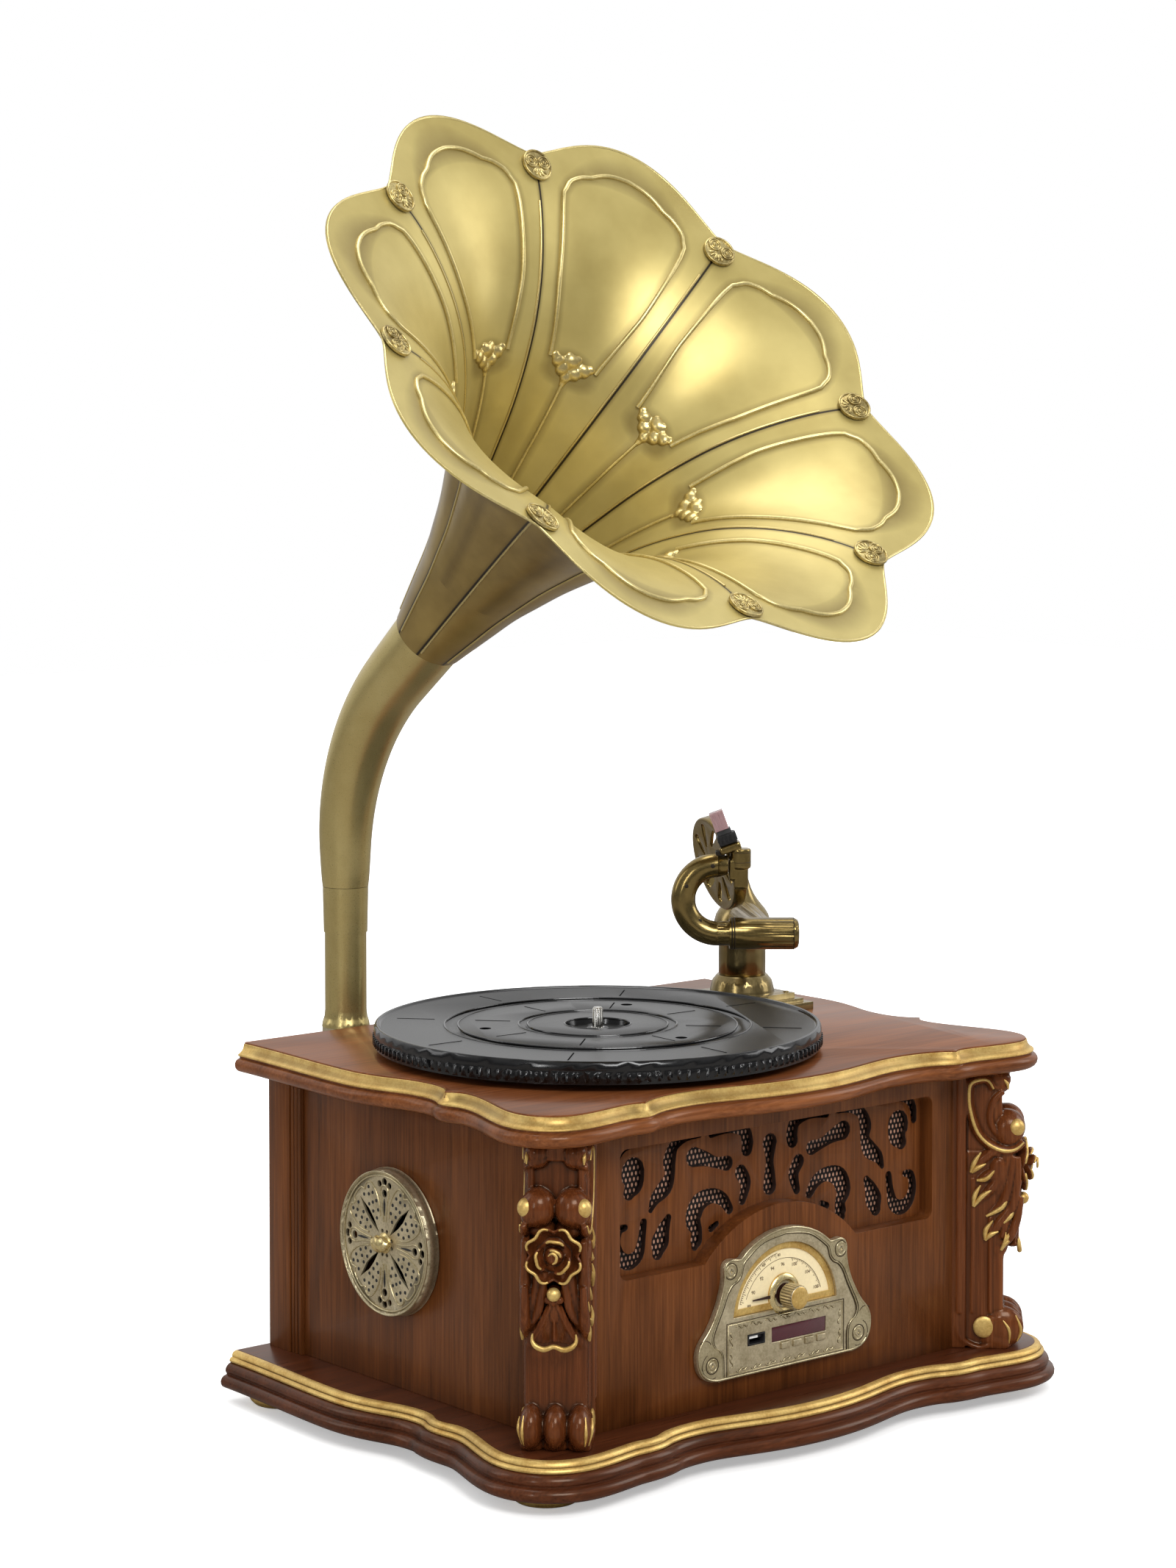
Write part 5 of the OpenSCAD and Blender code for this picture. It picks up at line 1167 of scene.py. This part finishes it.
rose_parts.append(thicken(rolled(36, 20, fan_place, merge=False), 4.0))
rose_parts.append(ball((0, 38, 122), (4.5, 5, 9)))
for x, z in ((-3.6, 129.5), (3.6, 129.5), (0, 128.2)):
    rose_parts.append(ball((x, 42.6, z), (2.6, 3.0, 2.4)))
half_lip = [(-13.4, 41.5, 108, 0.5), (-13.6, 41.8, 103.6, 1.2), (-11, 42.6, 100.2, 1.7), (-6, 42.8, 98.6, 1.8)]
lip = half_lip + [(0, 42.8, 100.4, 1.5)] + both(half_lip)[1][::-1]
gilded += [lip, [(-2.4, 54.6, 159.6, 0.3), (0.2, 55, 161.4, 0.8), (2.6, 55, 159.4, 0.9), (2.4, 55, 156.4, 0.9),
                 (0.4, 54.8, 154.8, 0.5)]]

# %% Gilding of the columns
gilded += both([(20.9, y, z, 0.95 * r) for (y, z), r in zip(c_scroll, size_at)])
gilded += both([(17.9, 30.4, 219.6, 0.4), (17.9, 33.4, 216.3, 1.2), (17.9, 34.2, 212, 0.4)])
edges = (
    ((15.7, 169.1), (11.2, 162), (8.6, 155.1)), ((19.1, 161.1), (13.4, 158.2), (9.4, 154.9)),
    ((26.2, 158.1), (19.5, 150.9), (12.8, 149.6)), ((15.5, 146.2), (11.6, 139.4), (10.4, 131.7)),
    ((23.7, 143.6), (16.6, 138.6), (10.9, 131.4)), ((34.8, 140.7), (30.4, 131.3), (19.5, 124.9)),
    ((38.8, 131.3), (36, 125), (31.3, 120.3)), ((24.1, 122), (19.2, 115.4), (18.7, 108.4)),
    ((27.9, 114.3), (22.6, 112.2), (18.9, 108.2)), ((41.5, 121.1), (35, 111.5), (29.6, 101.6)),
    ((37.6, 109.2), (33, 106.8), (29.8, 101.4)),
)
for edge in edges:
    gilded += both([(21.2 - 0.05 * max(0, y - 26) ** 1.4, y, z, r) for (y, z), r in zip(edge, (0.5, 1.8, 0.9))])
foot_edges = (
    ((22.6, 31.3, 53.1), (22.9, 35.5, 46.3), (20.7, 35.5, 36.9)),
    ((19.2, 39.9, 56.1), (19.8, 43.6, 46.3), (19, 41, 38)),
)
for run in foot_edges:
    gilded += both([(x, y, z, r) for (x, y, z), r in zip(run, (0.4, 1.15, 0.4))])
gilded += both([(20.6, 33, 114, 0.3), (21.4, 32.4, 109, 1.0), (21.6, 30.6, 104, 0.6)])
gilding = [strokes(*gilded), ball((0, 45, 133.5), (4.3, 4.3, 4.3))]
for side in (-1, 1):
    gilding += [ball((17.6 * side, 39.4, 186), (5.6, 6.2, 6.3)), ball((21.4 * side, 18.2, 48), (1.9, 7.5, 7.5))]
corner_frame = Matrix.Translation((178 * MM, -141 * MM, 0)) @ Matrix.Rotation(math.radians(-135), 4, "Z")
mirror_x = Matrix.Diagonal((-1, 1, 1, 1))
corner_places = (corner_frame, mirror_x @ corner_frame)
column, ornament, gilt = fused(carved, 0.9), fused(rose_parts, 0.55, 1), joined(*gilding)
smooth(gilt, 60)
for piece, name, material, slot in (
        (column, "corner_column_carved", "carved_wood", "wood"),
        (ornament, "corner_rose_and_fan", "carved_wood", "wood"),
        (gilt, "corner_gilding", "gold_paint", "gold_paint")):
    for side, twin in zip(("right", "left"), copies(piece, corner_places)):
        stands = (side + "_corner_column",) if name == "corner_column_carved" else ()
        fit(twin, side + "_" + name, "cabinet", material, *stands, slot=slot)
print("columns", len(gilded), "strokes of gold")

# %% [markdown]
# ## The control plate
# The cast plate keeps its imported shape. What a caster adds to it lies on its face: a rolled rim,
# a smooth band beside the rim, engraved double lines and small scrolls. An engraved line is a
# thin dark wire, painted shade of the groove together with its tarnish, beside a bright one that reads as its lit
# edge.

# %% Lathe and lines
def lathe(profile, sides=56, ribs=0, deep=0.0, only=None):
    """A turned piece round z through (radius, height) in mm; ribs of a depth may flute some rows."""
    def place(u, v):
        row = round(v * (len(profile) - 1))
        radius, height = profile[row]
        if ribs and (only is None or row in only):
            radius -= deep * (0.5 - 0.5 * math.cos(math.tau * u * ribs)) ** 0.7
        return radius * math.cos(math.tau * u), radius * math.sin(math.tau * u), height
    piece = rolled(sides, len(profile) - 1, place)
    facing_out(piece)
    smooth(piece, 42)
    return piece


def moved(piece, matrix):
    """Sets a piece into place; the matrix works in metres."""
    piece.data.transform(matrix)
    if matrix.determinant() < 0:
        piece.data.flip_normals()
    return piece


def at_mm(x, y, z, turn=None):
    place = Matrix.Translation((x * MM, y * MM, z * MM))
    return place if turn is None else place @ turn


out_front = Matrix.Rotation(math.radians(90), 4, "X")
PLATE_Y = FRONT_Y - 4.0


def drawn(runs, radius, front, material, name, body="cabinet", slot="bronze_metal", closed=True):
    """Wires along runs of (x, z) in mm, on a plane y = front."""
    piece = wires([[(x * MM, front * MM, z * MM) for x, z in run] for run in runs], radius, closed=closed)
    return fit(piece, name, body, material, slot=slot)


PLATE_CURVES = (
    ((0, 142), (16, 142), (31, 136), (40, 127)), ((40, 127), (44, 126), (46, 128), (50, 127.4)),
    ((50, 127.4), (54, 126.8), (56, 123), (55, 118)), ((55, 118), (55, 112), (57.5, 103), (60.5, 97)),
    ((60.5, 97), (64, 90), (67, 85), (71.5, 80)), ((71.5, 80), (76, 76), (78.3, 71), (78, 65.5)),
    ((78, 65.5), (77.5, 57), (73, 51.5), (66, 50)), ((66, 50), (64, 49.4), (62, 49), (60, 49)),
)
BAND_IN = (
    (0, 0, 138.4), (0.5, 21.3, 135), (1, 36.6, 125.4), (1.5, 39.3, 121.4), (2, 40.6, 116.9), (2.5, 43.6, 113.3),
    (3, 48.6, 110.8), (3.5, 53, 105.6), (4, 56.8, 97.6), (4.5, 61.2, 89.4), (5, 65, 82), (5.5, 65.9, 77),
    (6, 63.6, 72.4), (6.5, 59.2, 69.4), (7, 57, 64.4), (8, 56.8, 50.4),
)
band_pairs = []
for k, curve in enumerate(PLATE_CURVES):
    for share in (i / 10 for i in range(10)):
        band_pairs.append((tuple(bezier(curve, share)), tuple(curve_through(BAND_IN, k + share))))
band_pairs.append(((60, 49), (56.8, 50.4)))
band_pairs = [((-a, b), (-c, d)) for (a, b), (c, d) in reversed(band_pairs[1:])] + band_pairs


def band_point(index, share):
    """A point between the plate's edge, share 0, and the engraved line, share 1."""
    (a, b), (c, d) = band_pairs[index]
    return a + (c - a) * share, b + (d - b) * share


# %% Rim, band and lines of the plate
last = len(band_pairs) - 1
finish["pale_bronze"] = metal("polished_bronze", rgb(168, 154, 116), rgb(216, 204, 168), 0.9, 0.22, 50.0,
                              edge=False)
# The dark side of engraved lines, rings and scrolls: tarnish together with painted shade in the grooves.
finish["patina_and_shade"] = metal("dark_patina_and_shade", rgb(52, 42, 28), rgb(84, 70, 48), 0.6, 0.4, 80.0, edge=False)


def plate_band_place(u, v):
    x, z = band_point(round(u * last), 0.12 + 0.86 * v)
    return x, PLATE_Y - 0.3, z


plate_band = rolled(last, 1, plate_band_place, merge=False)
thicken(plate_band, 0.35)
fit(plate_band, "plate_band", "cabinet", "pale_bronze", slot="bronze_metal")
rim_run = [band_point(i, 0.0) for i in range(last + 1)]
rim_run = [(x * (1 - 1.1 / 78), 95.5 + (z - 95.5) * (1 - 1.1 / 46.5)) for x, z in rim_run]
drawn([rim_run], 0.95, PLATE_Y - 0.1, "pale_bronze", "plate_rim")
line_run = [band_point(i, 1.0) for i in range(last + 1)]
inner_run = [(x * 0.972, z - 0.9 if z > 60 else z) for x, z in line_run]
drawn([line_run, inner_run], 0.42, PLATE_Y - 0.15, "patina_and_shade", "plate_lines_dark", closed=False)
middle_run = [((x + a) / 2, (z + b) / 2) for (x, z), (a, b) in zip(line_run, inner_run)]
drawn([middle_run], 0.5, PLATE_Y - 0.2, "pale_bronze", "plate_lines_bright", closed=False)


def arc(centre, radius, start, end, steps=40):
    turns = [math.radians(start + (end - start) * i / steps) for i in range(steps + 1)]
    return [(centre[0] + radius * math.cos(turn), centre[1] + radius * math.sin(turn)) for turn in turns]


def on_arc(centre, radius, angle):
    return arc(centre, radius, angle, angle, 1)[0]


LOBE = (65.6, 60.8)
screw_spots = [(side * x, z) for side in (-1, 1) for x, z in ((49.3, 120), LOBE)]
for radius, thick, material, name in ((5.3, 0.45, "patina_and_shade", "screw_rings"),
                                      (4.2, 0.5, "pale_bronze", "screw_collars")):
    drawn([arc(spot, radius, 0, 351) for spot in screw_spots], thick, PLATE_Y - 0.5, material, name)
sweep = [arc(LOBE, 8.6, -110, 60), arc((72, 72), 6, 50, 150, 16)]
sweep += [[(-x, z) for x, z in run] for run in sweep]
drawn(sweep, 0.35, PLATE_Y - 0.5, "patina_and_shade", "lobe_sweeps", closed=False)
for half, low, high, lift, material, name in ((52.5, 50.8, 85.6, 0.05, "patina_and_shade", "strip_frame_dark"),
                                              (51.3, 52, 84.4, 0.1, "pale_bronze", "strip_frame_bright")):
    drawn([[(-half, low), (half, low), (half, high), (-half, high)]], 0.4, PLATE_Y - lift, material, name)

# %% [markdown]
# The rows of scrolls are plain S and C shapes: one scroll, drawn once and repeated.

# %% Scrolls of the strip
scroll = ((-5.2, 0.1, 0.2), (-4.2, 1.2, 0.5), (-2.6, 1.0, 0.6), (-1.2, -0.4, 0.55), (0.4, -1.0, 0.5),
          (1.6, -0.2, 0.4), (0.9, 0.6, 0.3), (0.1, 0.2, 0.2))
leafy = ((1.4, 0.9, 0.2), (2.6, 0.4, 0.6), (3.8, -0.7, 0.5), (5.0, -0.2, 0.2))
scroll_spots = [(x, z, 0, flip) for z, flip in ((82.2, 1), (54.2, -1)) for x in (-39, -26, -13, 0, 13, 26, 39)]
scroll_spots += [(x, z, 90, 1 if x > 0 else -1) for x in (-48.6, 48.6) for z in (61.5, 74.5)]


def scrolls(thick, front, material, name):
    runs = []
    for x, z, turn, flip in scroll_spots:
        c, s = math.cos(math.radians(turn)), math.sin(math.radians(turn))
        for shape in (scroll, leafy):
            runs.append([(x + a * c - b * flip * s, front, z + a * s + b * flip * c, r * thick)
                         for a, b, r in shape])
    fit(strokes(*runs, sides=1), name, "cabinet", material, slot="bronze_metal")


scrolls(0.95, PLATE_Y + 0.1, "patina_and_shade", "strip_scrolls_shade")
scrolls(0.6, PLATE_Y - 0.25, "pale_bronze", "strip_scrolls")

# %% [markdown]
# The dial card is printed: two arcs, ticks and plain numbers. They are thin raised lines and
# flat numerals a tenth of a millimetre above the card.

# %% Dial, knob and socket
DIAL = (0, 85)
CARD_Y = FRONT_Y - 1.35
finish["print_brown"] = plastic("dial_print", rgb(84, 60, 34), 0.5, 300.0, 0.03, 0.1)
marks = [arc(DIAL, 35.6, 18, 158), arc(DIAL, 40, 98, 164)]
for count, first, spread, tall, short, line in ((34, 100, 64, 37.2, 38.6, 40), (30, 20, 58, 33.4, 34.4, 35.6)):
    for k in range(count):
        angle = first + spread * k / (count - 1)
        marks.append([on_arc(DIAL, radius, angle) for radius in (short if k % 4 else tall, line)])
drawn(marks, 0.16, CARD_Y, "print_brown", "dial_scale", slot="cream_card", closed=False)
numerals = []
INNER_SCALE = ((165, "88"), (148, "90"), (128, "92"), (108, "94"), (91, "96"), (72, "100"), (47, "104"), (22, "108"))
numbers = [(angle, 31.6, text, 3.3) for angle, text in INNER_SCALE]
numbers += [(118, 37.9, "60", 2.6), (96, 38.4, "80", 2.6)]
for angle, radius, text, size in numbers:
    deselect()
    bpy.ops.object.text_add()
    word = bpy.context.object
    word.data.body, word.data.size, word.data.extrude = text, size * MM, 0.00008
    word.data.align_x, word.data.align_y = "CENTER", "CENTER"
    bpy.ops.object.convert(target="MESH")
    x, z = on_arc(DIAL, radius, angle)
    numerals.append(moved(bpy.context.object, at_mm(x, CARD_Y, z, out_front)))
fit(joined(*numerals), "dial_numbers", "cabinet", "print_brown", slot="cream_card")

KNOB = at_mm(0, FRONT_Y, 97, out_front)
knob = [(0, 5.9), (7.6, 5.9), (8.3, 6.5)] + [(8.3, 6.5 + k) for k in range(1, 10)] + [(8.3, 16.4), (8.0, 16.9)]
knob += [(7.6, 16.9), (7.4, 17.1), (5.5, 17.35), (2.5, 17.4), (0, 17.4)]
knob = lathe(knob, 144, 24, 0.75, only=range(2, 14))
fit(moved(knob, KNOB), "knob_fluted", "tuning", "bronze_metal", "tuning_knob")
cap = lathe([(0, 17.0), (7.3, 17.0), (7.3, 17.4), (6.8, 17.75), (3, 18.0), (0, 18.0)], 64)
fit(moved(cap, KNOB), "knob_cap", "tuning", "gold_paint", slot="gold_paint")
finish["bright_brass"] = metal("bright_brass", rgb(206, 182, 120), rgb(240, 222, 168), 0.9, 0.2, 40.0, edge=False)
knob_base = lathe([(8.9, 1.6), (13.6, 1.6), (13.6, 2.6), (12.6, 3.6), (10.2, 3.9), (9.2, 3.2), (8.9, 1.6)], 64)
fit(moved(knob_base, KNOB), "knob_collar", "cabinet", "bright_brass", slot="gold_paint")
tongue = block((-33.6, FRONT_Y - 3.2, 72.4), (-24.4, FRONT_Y + 6, 74.3), 0.2)
fit(tongue, "usb_tongue", "cabinet", "white_plastic", slot="steel")
print("control plate made")

# %% [markdown]
# ## The vents
# Each vent is a pierced disc in a rolled rim. The imported disc has its large openings; on it lie
# the outlines of four leaves and four drops, and the small holes, as dark studs flush with it:
# painted shade where a hole would show the dark inside.

# %% The vents
VENT = (15.0, 130.0)
LEAF = (
    (4.5, 17), (5.2, 24), (8.5, 31.5), (13.5, 37.2), (17.6, 38), (20.6, 36), (21.6, 32.6), (25.4, 33.2),
    (29.6, 30.2),
)
DROP = ((-1.3, 14), (-2.0, 21), (-3.0, 27), (-4.4, 32), (-3.6, 36.4), (0, 38.4))
DOTS = (
    (17.5, 34.6), (13, 31.5), (17.2, 29.8), (22.4, 28.8), (9, 26.6), (12.8, 25), (16.8, 23.2), (7, 20.8),
    (12.3, 19.2), (8.3, 15.3),
)
SLIT = ((18, 0.3), (22, 0.7), (26, 0.8), (29.5, 0.3))


def turned_points(points, quarter):
    c, s = math.cos(quarter * math.pi / 2), math.sin(quarter * math.pi / 2)
    return [(x * c - y * s, x * s + y * c) for x, y in points]


leaf_line = softened(LEAF + tuple((y, x) for x, y in reversed(LEAF)))
drop_line = softened(DROP + tuple((-x, y) for x, y in reversed(DROP[:-1])))
relief = [turned_points(line, q) for line in (leaf_line, drop_line) for q in range(4)]
dots = [spot for q in range(4) for x, y in DOTS for spot in turned_points(((x, y), (y, x)), q)]
for side, name in ((-1, "left"), (1, "right")):
    def on_vent(a, b, out):
        return side * (HALF_W + out) * MM, (VENT[0] + a) * MM, (VENT[1] + b) * MM

    outwards = Matrix.Rotation(side * math.pi / 2, 4, "Y")
    lines = wires([[on_vent(a, b, 8.7) for a, b in run] for run in relief], 0.62, closed=False)
    fit(lines, name + "_vent_relief", "cabinet", "pale_bronze", slot="bronze_metal")
    bands = [[on_vent(r * math.cos(t), r * math.sin(t), out) for t in (math.tau * i / 96 for i in range(96))]
             for r, out in ((44.6, 9.0), (47.2, 9.7))]
    fit(wires(bands, 0.7), name + "_vent_rings", "cabinet", "pale_bronze", slot="bronze_metal")
    # Painted shade: dark studs and slits stand for the small holes.
    hole_shade_studs = []
    for a, b in dots:
        spot = disc(1.2, 0.12, sides=14)
        hole_shade_studs.append(moved(spot, Matrix.Translation(on_vent(a, b, 8.6)) @ outwards))
    slits = [turned_points([(0, far) for far, _ in SLIT], q) for q in range(4)]
    hole_shade_studs.append(strokes(*[[(side * (HALF_W + 8.55), VENT[0] + a, VENT[1] + b, radius)
                             for (a, b), (_, radius) in zip(slit, SLIT)] for slit in slits]))
    fit(joined(*hole_shade_studs), name + "_vent_hole_shade", "cabinet", "black_plastic", slot="bronze_metal")

    def twist(u, v):
        t, p = u * math.tau, v * math.pi
        wide = 5.4 * math.sin(p) * (1 + 0.09 * math.cos(3 * t + 7 * p))
        out = HALF_W + 12.6 + wide * math.cos(t) * 0.8
        return side * out, VENT[0] + 8.8 * math.cos(p), VENT[1] + wide * math.sin(t)

    nut = rolled(48, 30, twist)
    facing_out(nut)
    foot = lathe([(0, 8.4), (6.6, 8.4), (6.8, 9.0), (6.0, 9.8), (4.2, 10.6), (3.8, 12.4), (0, 12.6)], 40)
    moved(foot, at_mm(side * HALF_W, *VENT, outwards))
    smooth(nut, 60)
    fit(joined(nut, foot), name + "_vent_nut", "cabinet", "bright_brass", name + "_vent_finial")
print("vents made", len(dots), "dots each")

# %% [markdown]
# ## The platter
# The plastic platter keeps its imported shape. Its matt top has a fine grain, the toothed rim and
# the edges of its grooves are glossy, and short radial marks are engraved between them. A groove's lit
# edge is a thin torus laid on it, and a mark is a dark stroke sunk until only its back shows.

# %% Rings and marks of the platter
PLATTER = at_mm(-47, -21.5, 0)
finish["platter_plastic"] = plastic("grained_platter_plastic", rgb(24, 24, 23), 0.27, 1100.0, 0.5, 0.4,
                                    Specular_IOR_Level=0.9)
finish["gloss_black"] = plastic("glossy_black_plastic", rgb(16, 16, 17), 0.1, 300.0, 0.03)
finish["mark_black"] = plastic("mark_black", rgb(6, 6, 6), 0.85, Specular_IOR_Level=0.05)
repaint(dress("platter", "platter_plastic"), "gloss_black", lambda normal: normal.z < 0.9)
RIM_LEVEL, LINE_LEVEL, MARK_LEVEL = 264.2, 263.3, 263.0
lit_rings = [ring(149, 0.9, (0, 0, RIM_LEVEL), 200, 10)]
lit_rings += [ring(radius, 0.7, (0, 0, LINE_LEVEL), 160, 8) for radius in (103.6, 94.4, 53.6, 47.4, 22.4)]
fit(moved(joined(*lit_rings), PLATTER), "platter_lit_rings", "platter", "gloss_black", slot="black_plastic")
mark_runs = []
for k in range(8):
    for near, far in ((60, 84), (112, 138)):
        mark_runs.append([(*on_arc((0, 0), radius, -138 + 45 * k), MARK_LEVEL, 0.75)
                          for radius in (near, (near + far) / 2, far)])
fit(moved(strokes(*mark_runs), PLATTER), "platter_marks", "platter", "mark_black", slot="black_plastic")
print("marks", len(mark_runs))

# %% [markdown]
# ## The tonearm
# The arm has a frame of its own: x along its reach, y to its right as seen from the reach's end,
# and z up. The post is turned afresh, because its cap swells and narrows in one smooth line.
# Seams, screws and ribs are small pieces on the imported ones.

# %% Post, rings and screws of the arm
ARM = at_mm(143, 42, 0, Matrix.Rotation(math.radians(-130), 4, "Z"))
REACH, ARM_LEVEL = 150, 321.5
HEAD = ARM @ at_mm(REACH, -15, 383.5, Matrix.Rotation(math.radians(20), 4, "X"))
ALONG_Y = Matrix.Rotation(math.radians(-90), 4, "X")
ALONG_X = Matrix.Rotation(math.radians(90), 4, "Y")
finish["arm_brass"] = metal("antique_brass", rgb(122, 103, 60), rgb(148, 128, 80), 0.95, 0.14, 30.0,
                            edge=False, dent=0.004)
finish["brushed_brass"] = metal("brushed_brass", rgb(124, 107, 68), rgb(154, 136, 94), 0.95, 0.15, 30.0,
                                edge=False, brushed=(1, 1, 0.02), dent=0.006)
# Dark rings at the arm's seams and grooves: dark joints at the seams, painted shade in the grooves between the
# neck's rings.
finish["groove_brown"] = metal("dark_groove", rgb(30, 22, 12), rgb(50, 38, 22), 0.4, 0.4, edge=False)
for node, material, width in (("arm_base", "brushed_brass", 0.7), ("arm_tube", "arm_brass", 0),
                              ("arm_socket", "arm_brass", 0), ("gooseneck", "arm_brass", 0),
                              ("sound_box", "arm_brass", 0.2)):
    dress(node, material, width)
post_profile = [(0, 270), (16.4, 270), (17, 270.8), (17, 281.5), (17, 286), (16.9, 291), (18.3, 297), (19.8, 301),
                (20.4, 305), (20.2, 309), (19, 313.5), (16.6, 317.5), (14, 320.6), (11, 324.4), (8.4, 328.4),
                (6.4, 332.6), (5, 337), (3.8, 341), (2.4, 344), (0, 345.6)]
post = lathe(post_profile, 64)
fit(moved(post, ARM), "post_turned", "arm", "brushed_brass", "arm_post")

seams = [moved(ring(radius, thick, around=64, section=8), at_mm(REACH, y, ARM_LEVEL, ALONG_Y))
         for radius, thick, y in ((10.6, 0.5, -11.7), (10.45, 0.5, -13.4), (10.7, 0.25, 28.6))]
fit(moved(joined(*seams[2:]), ARM), "socket_seam", "arm", "groove_brown", slot="bronze_metal")
neck_details = seams[:2]
BEND_Y, BEND_Z, BEND_R, NECK_R = -23.1, 344.9, 23.4, 8.3
for y, z in ((-44.4, 354.9), (-35.3, 331.0)):
    off = math.hypot(y - BEND_Y, z - BEND_Z) - BEND_R
    x = REACH + math.sqrt(NECK_R ** 2 - off ** 2)
    neck_details.append(moved(rounded(disc(1.3, 0.5, (0, 0, -0.35), 24), 0.15), at_mm(x, y, z, ALONG_X)))
neck_details += [moved(rounded(disc(1.5, 0.8, (0, 0, -0.3), 24), 0.2), at_mm(158.2, -26.6, 368.6, ALONG_X)),
                 block((145, -24.5, 374), (154, -18.5, 378.2), 0.7)]
neck_details += [moved(ring(7.0, 0.3, around=48, section=6), at_mm(REACH, -7.6, z)) for z in (370.5, 377.2)]
fit(moved(joined(*neck_details), ARM), "neck_screws_and_seams", "gooseneck", "groove_brown", slot="bronze_metal")

# The cast bracket between drum, neck and cartridge: a seat, an upright barrel and two blocks,
# fused to one skin and hollowed where the drum lies against it.
drum_turn = Matrix.Rotation(math.radians(111), 4, "Z") @ Matrix.Rotation(math.radians(76.1), 4, "Y")
BOX = at_mm(115, -24.9, 364.4, drum_turn)
seat = moved(block((-6.8, -8.3, -6), (6.8, 6.8, -0.4), 1.6), ARM.inverted() @ HEAD)
barrel = rounded(disc(7.2, 13.6, (REACH, -7.6, 366.2), 40), 1.2, 3)
cast = fused([seat, barrel, block((143, -12.6, 351.6), (155.6, -2.4, 369), 2.4),
              block((144.6, -15.6, 357.6), (155.4, -8, 373), 2)], 0.4, 4)
gouge = moved(disc(33.4, 11.6, (0, 0, -1.2), 96), BOX)
change(cast, "BOOLEAN", object=gouge)
bpy.data.objects.remove(gouge)
fit(moved(cast, ARM), "bracket_cast", body_of["sound_box_bracket"], "arm_brass", "sound_box_bracket")

ribs = [block((5.6, y, 0.8), (6.8, y + 1.5, 6.4), 0.3) for y in (-6.4, -3.6, -0.8, 2.0)]
ribs += [block((-5.4 + 2.8 * k, 5.0, 0.8), (-3.9 + 2.8 * k, 6.2, 6.4), 0.3) for k in range(4)]
ribs.append(block((-6.4, -7.4, 3.0), (6.4, 5.9, 3.9), 0.3))
fit(moved(joined(*ribs), HEAD), "cartridge_ribs", "gooseneck", "black_plastic", slot="black_plastic")
guard_ribs = [block((5.2, y, 11), (6.0, y + 1.0, 22.4), 0.3) for y in (-5.6, -3.2, -0.8, 1.6)]
fit(moved(joined(*guard_ribs), HEAD), "guard_ribs", "gooseneck", "pink_clear", slot="pink_clear")
print("arm", len(neck_details), "details")
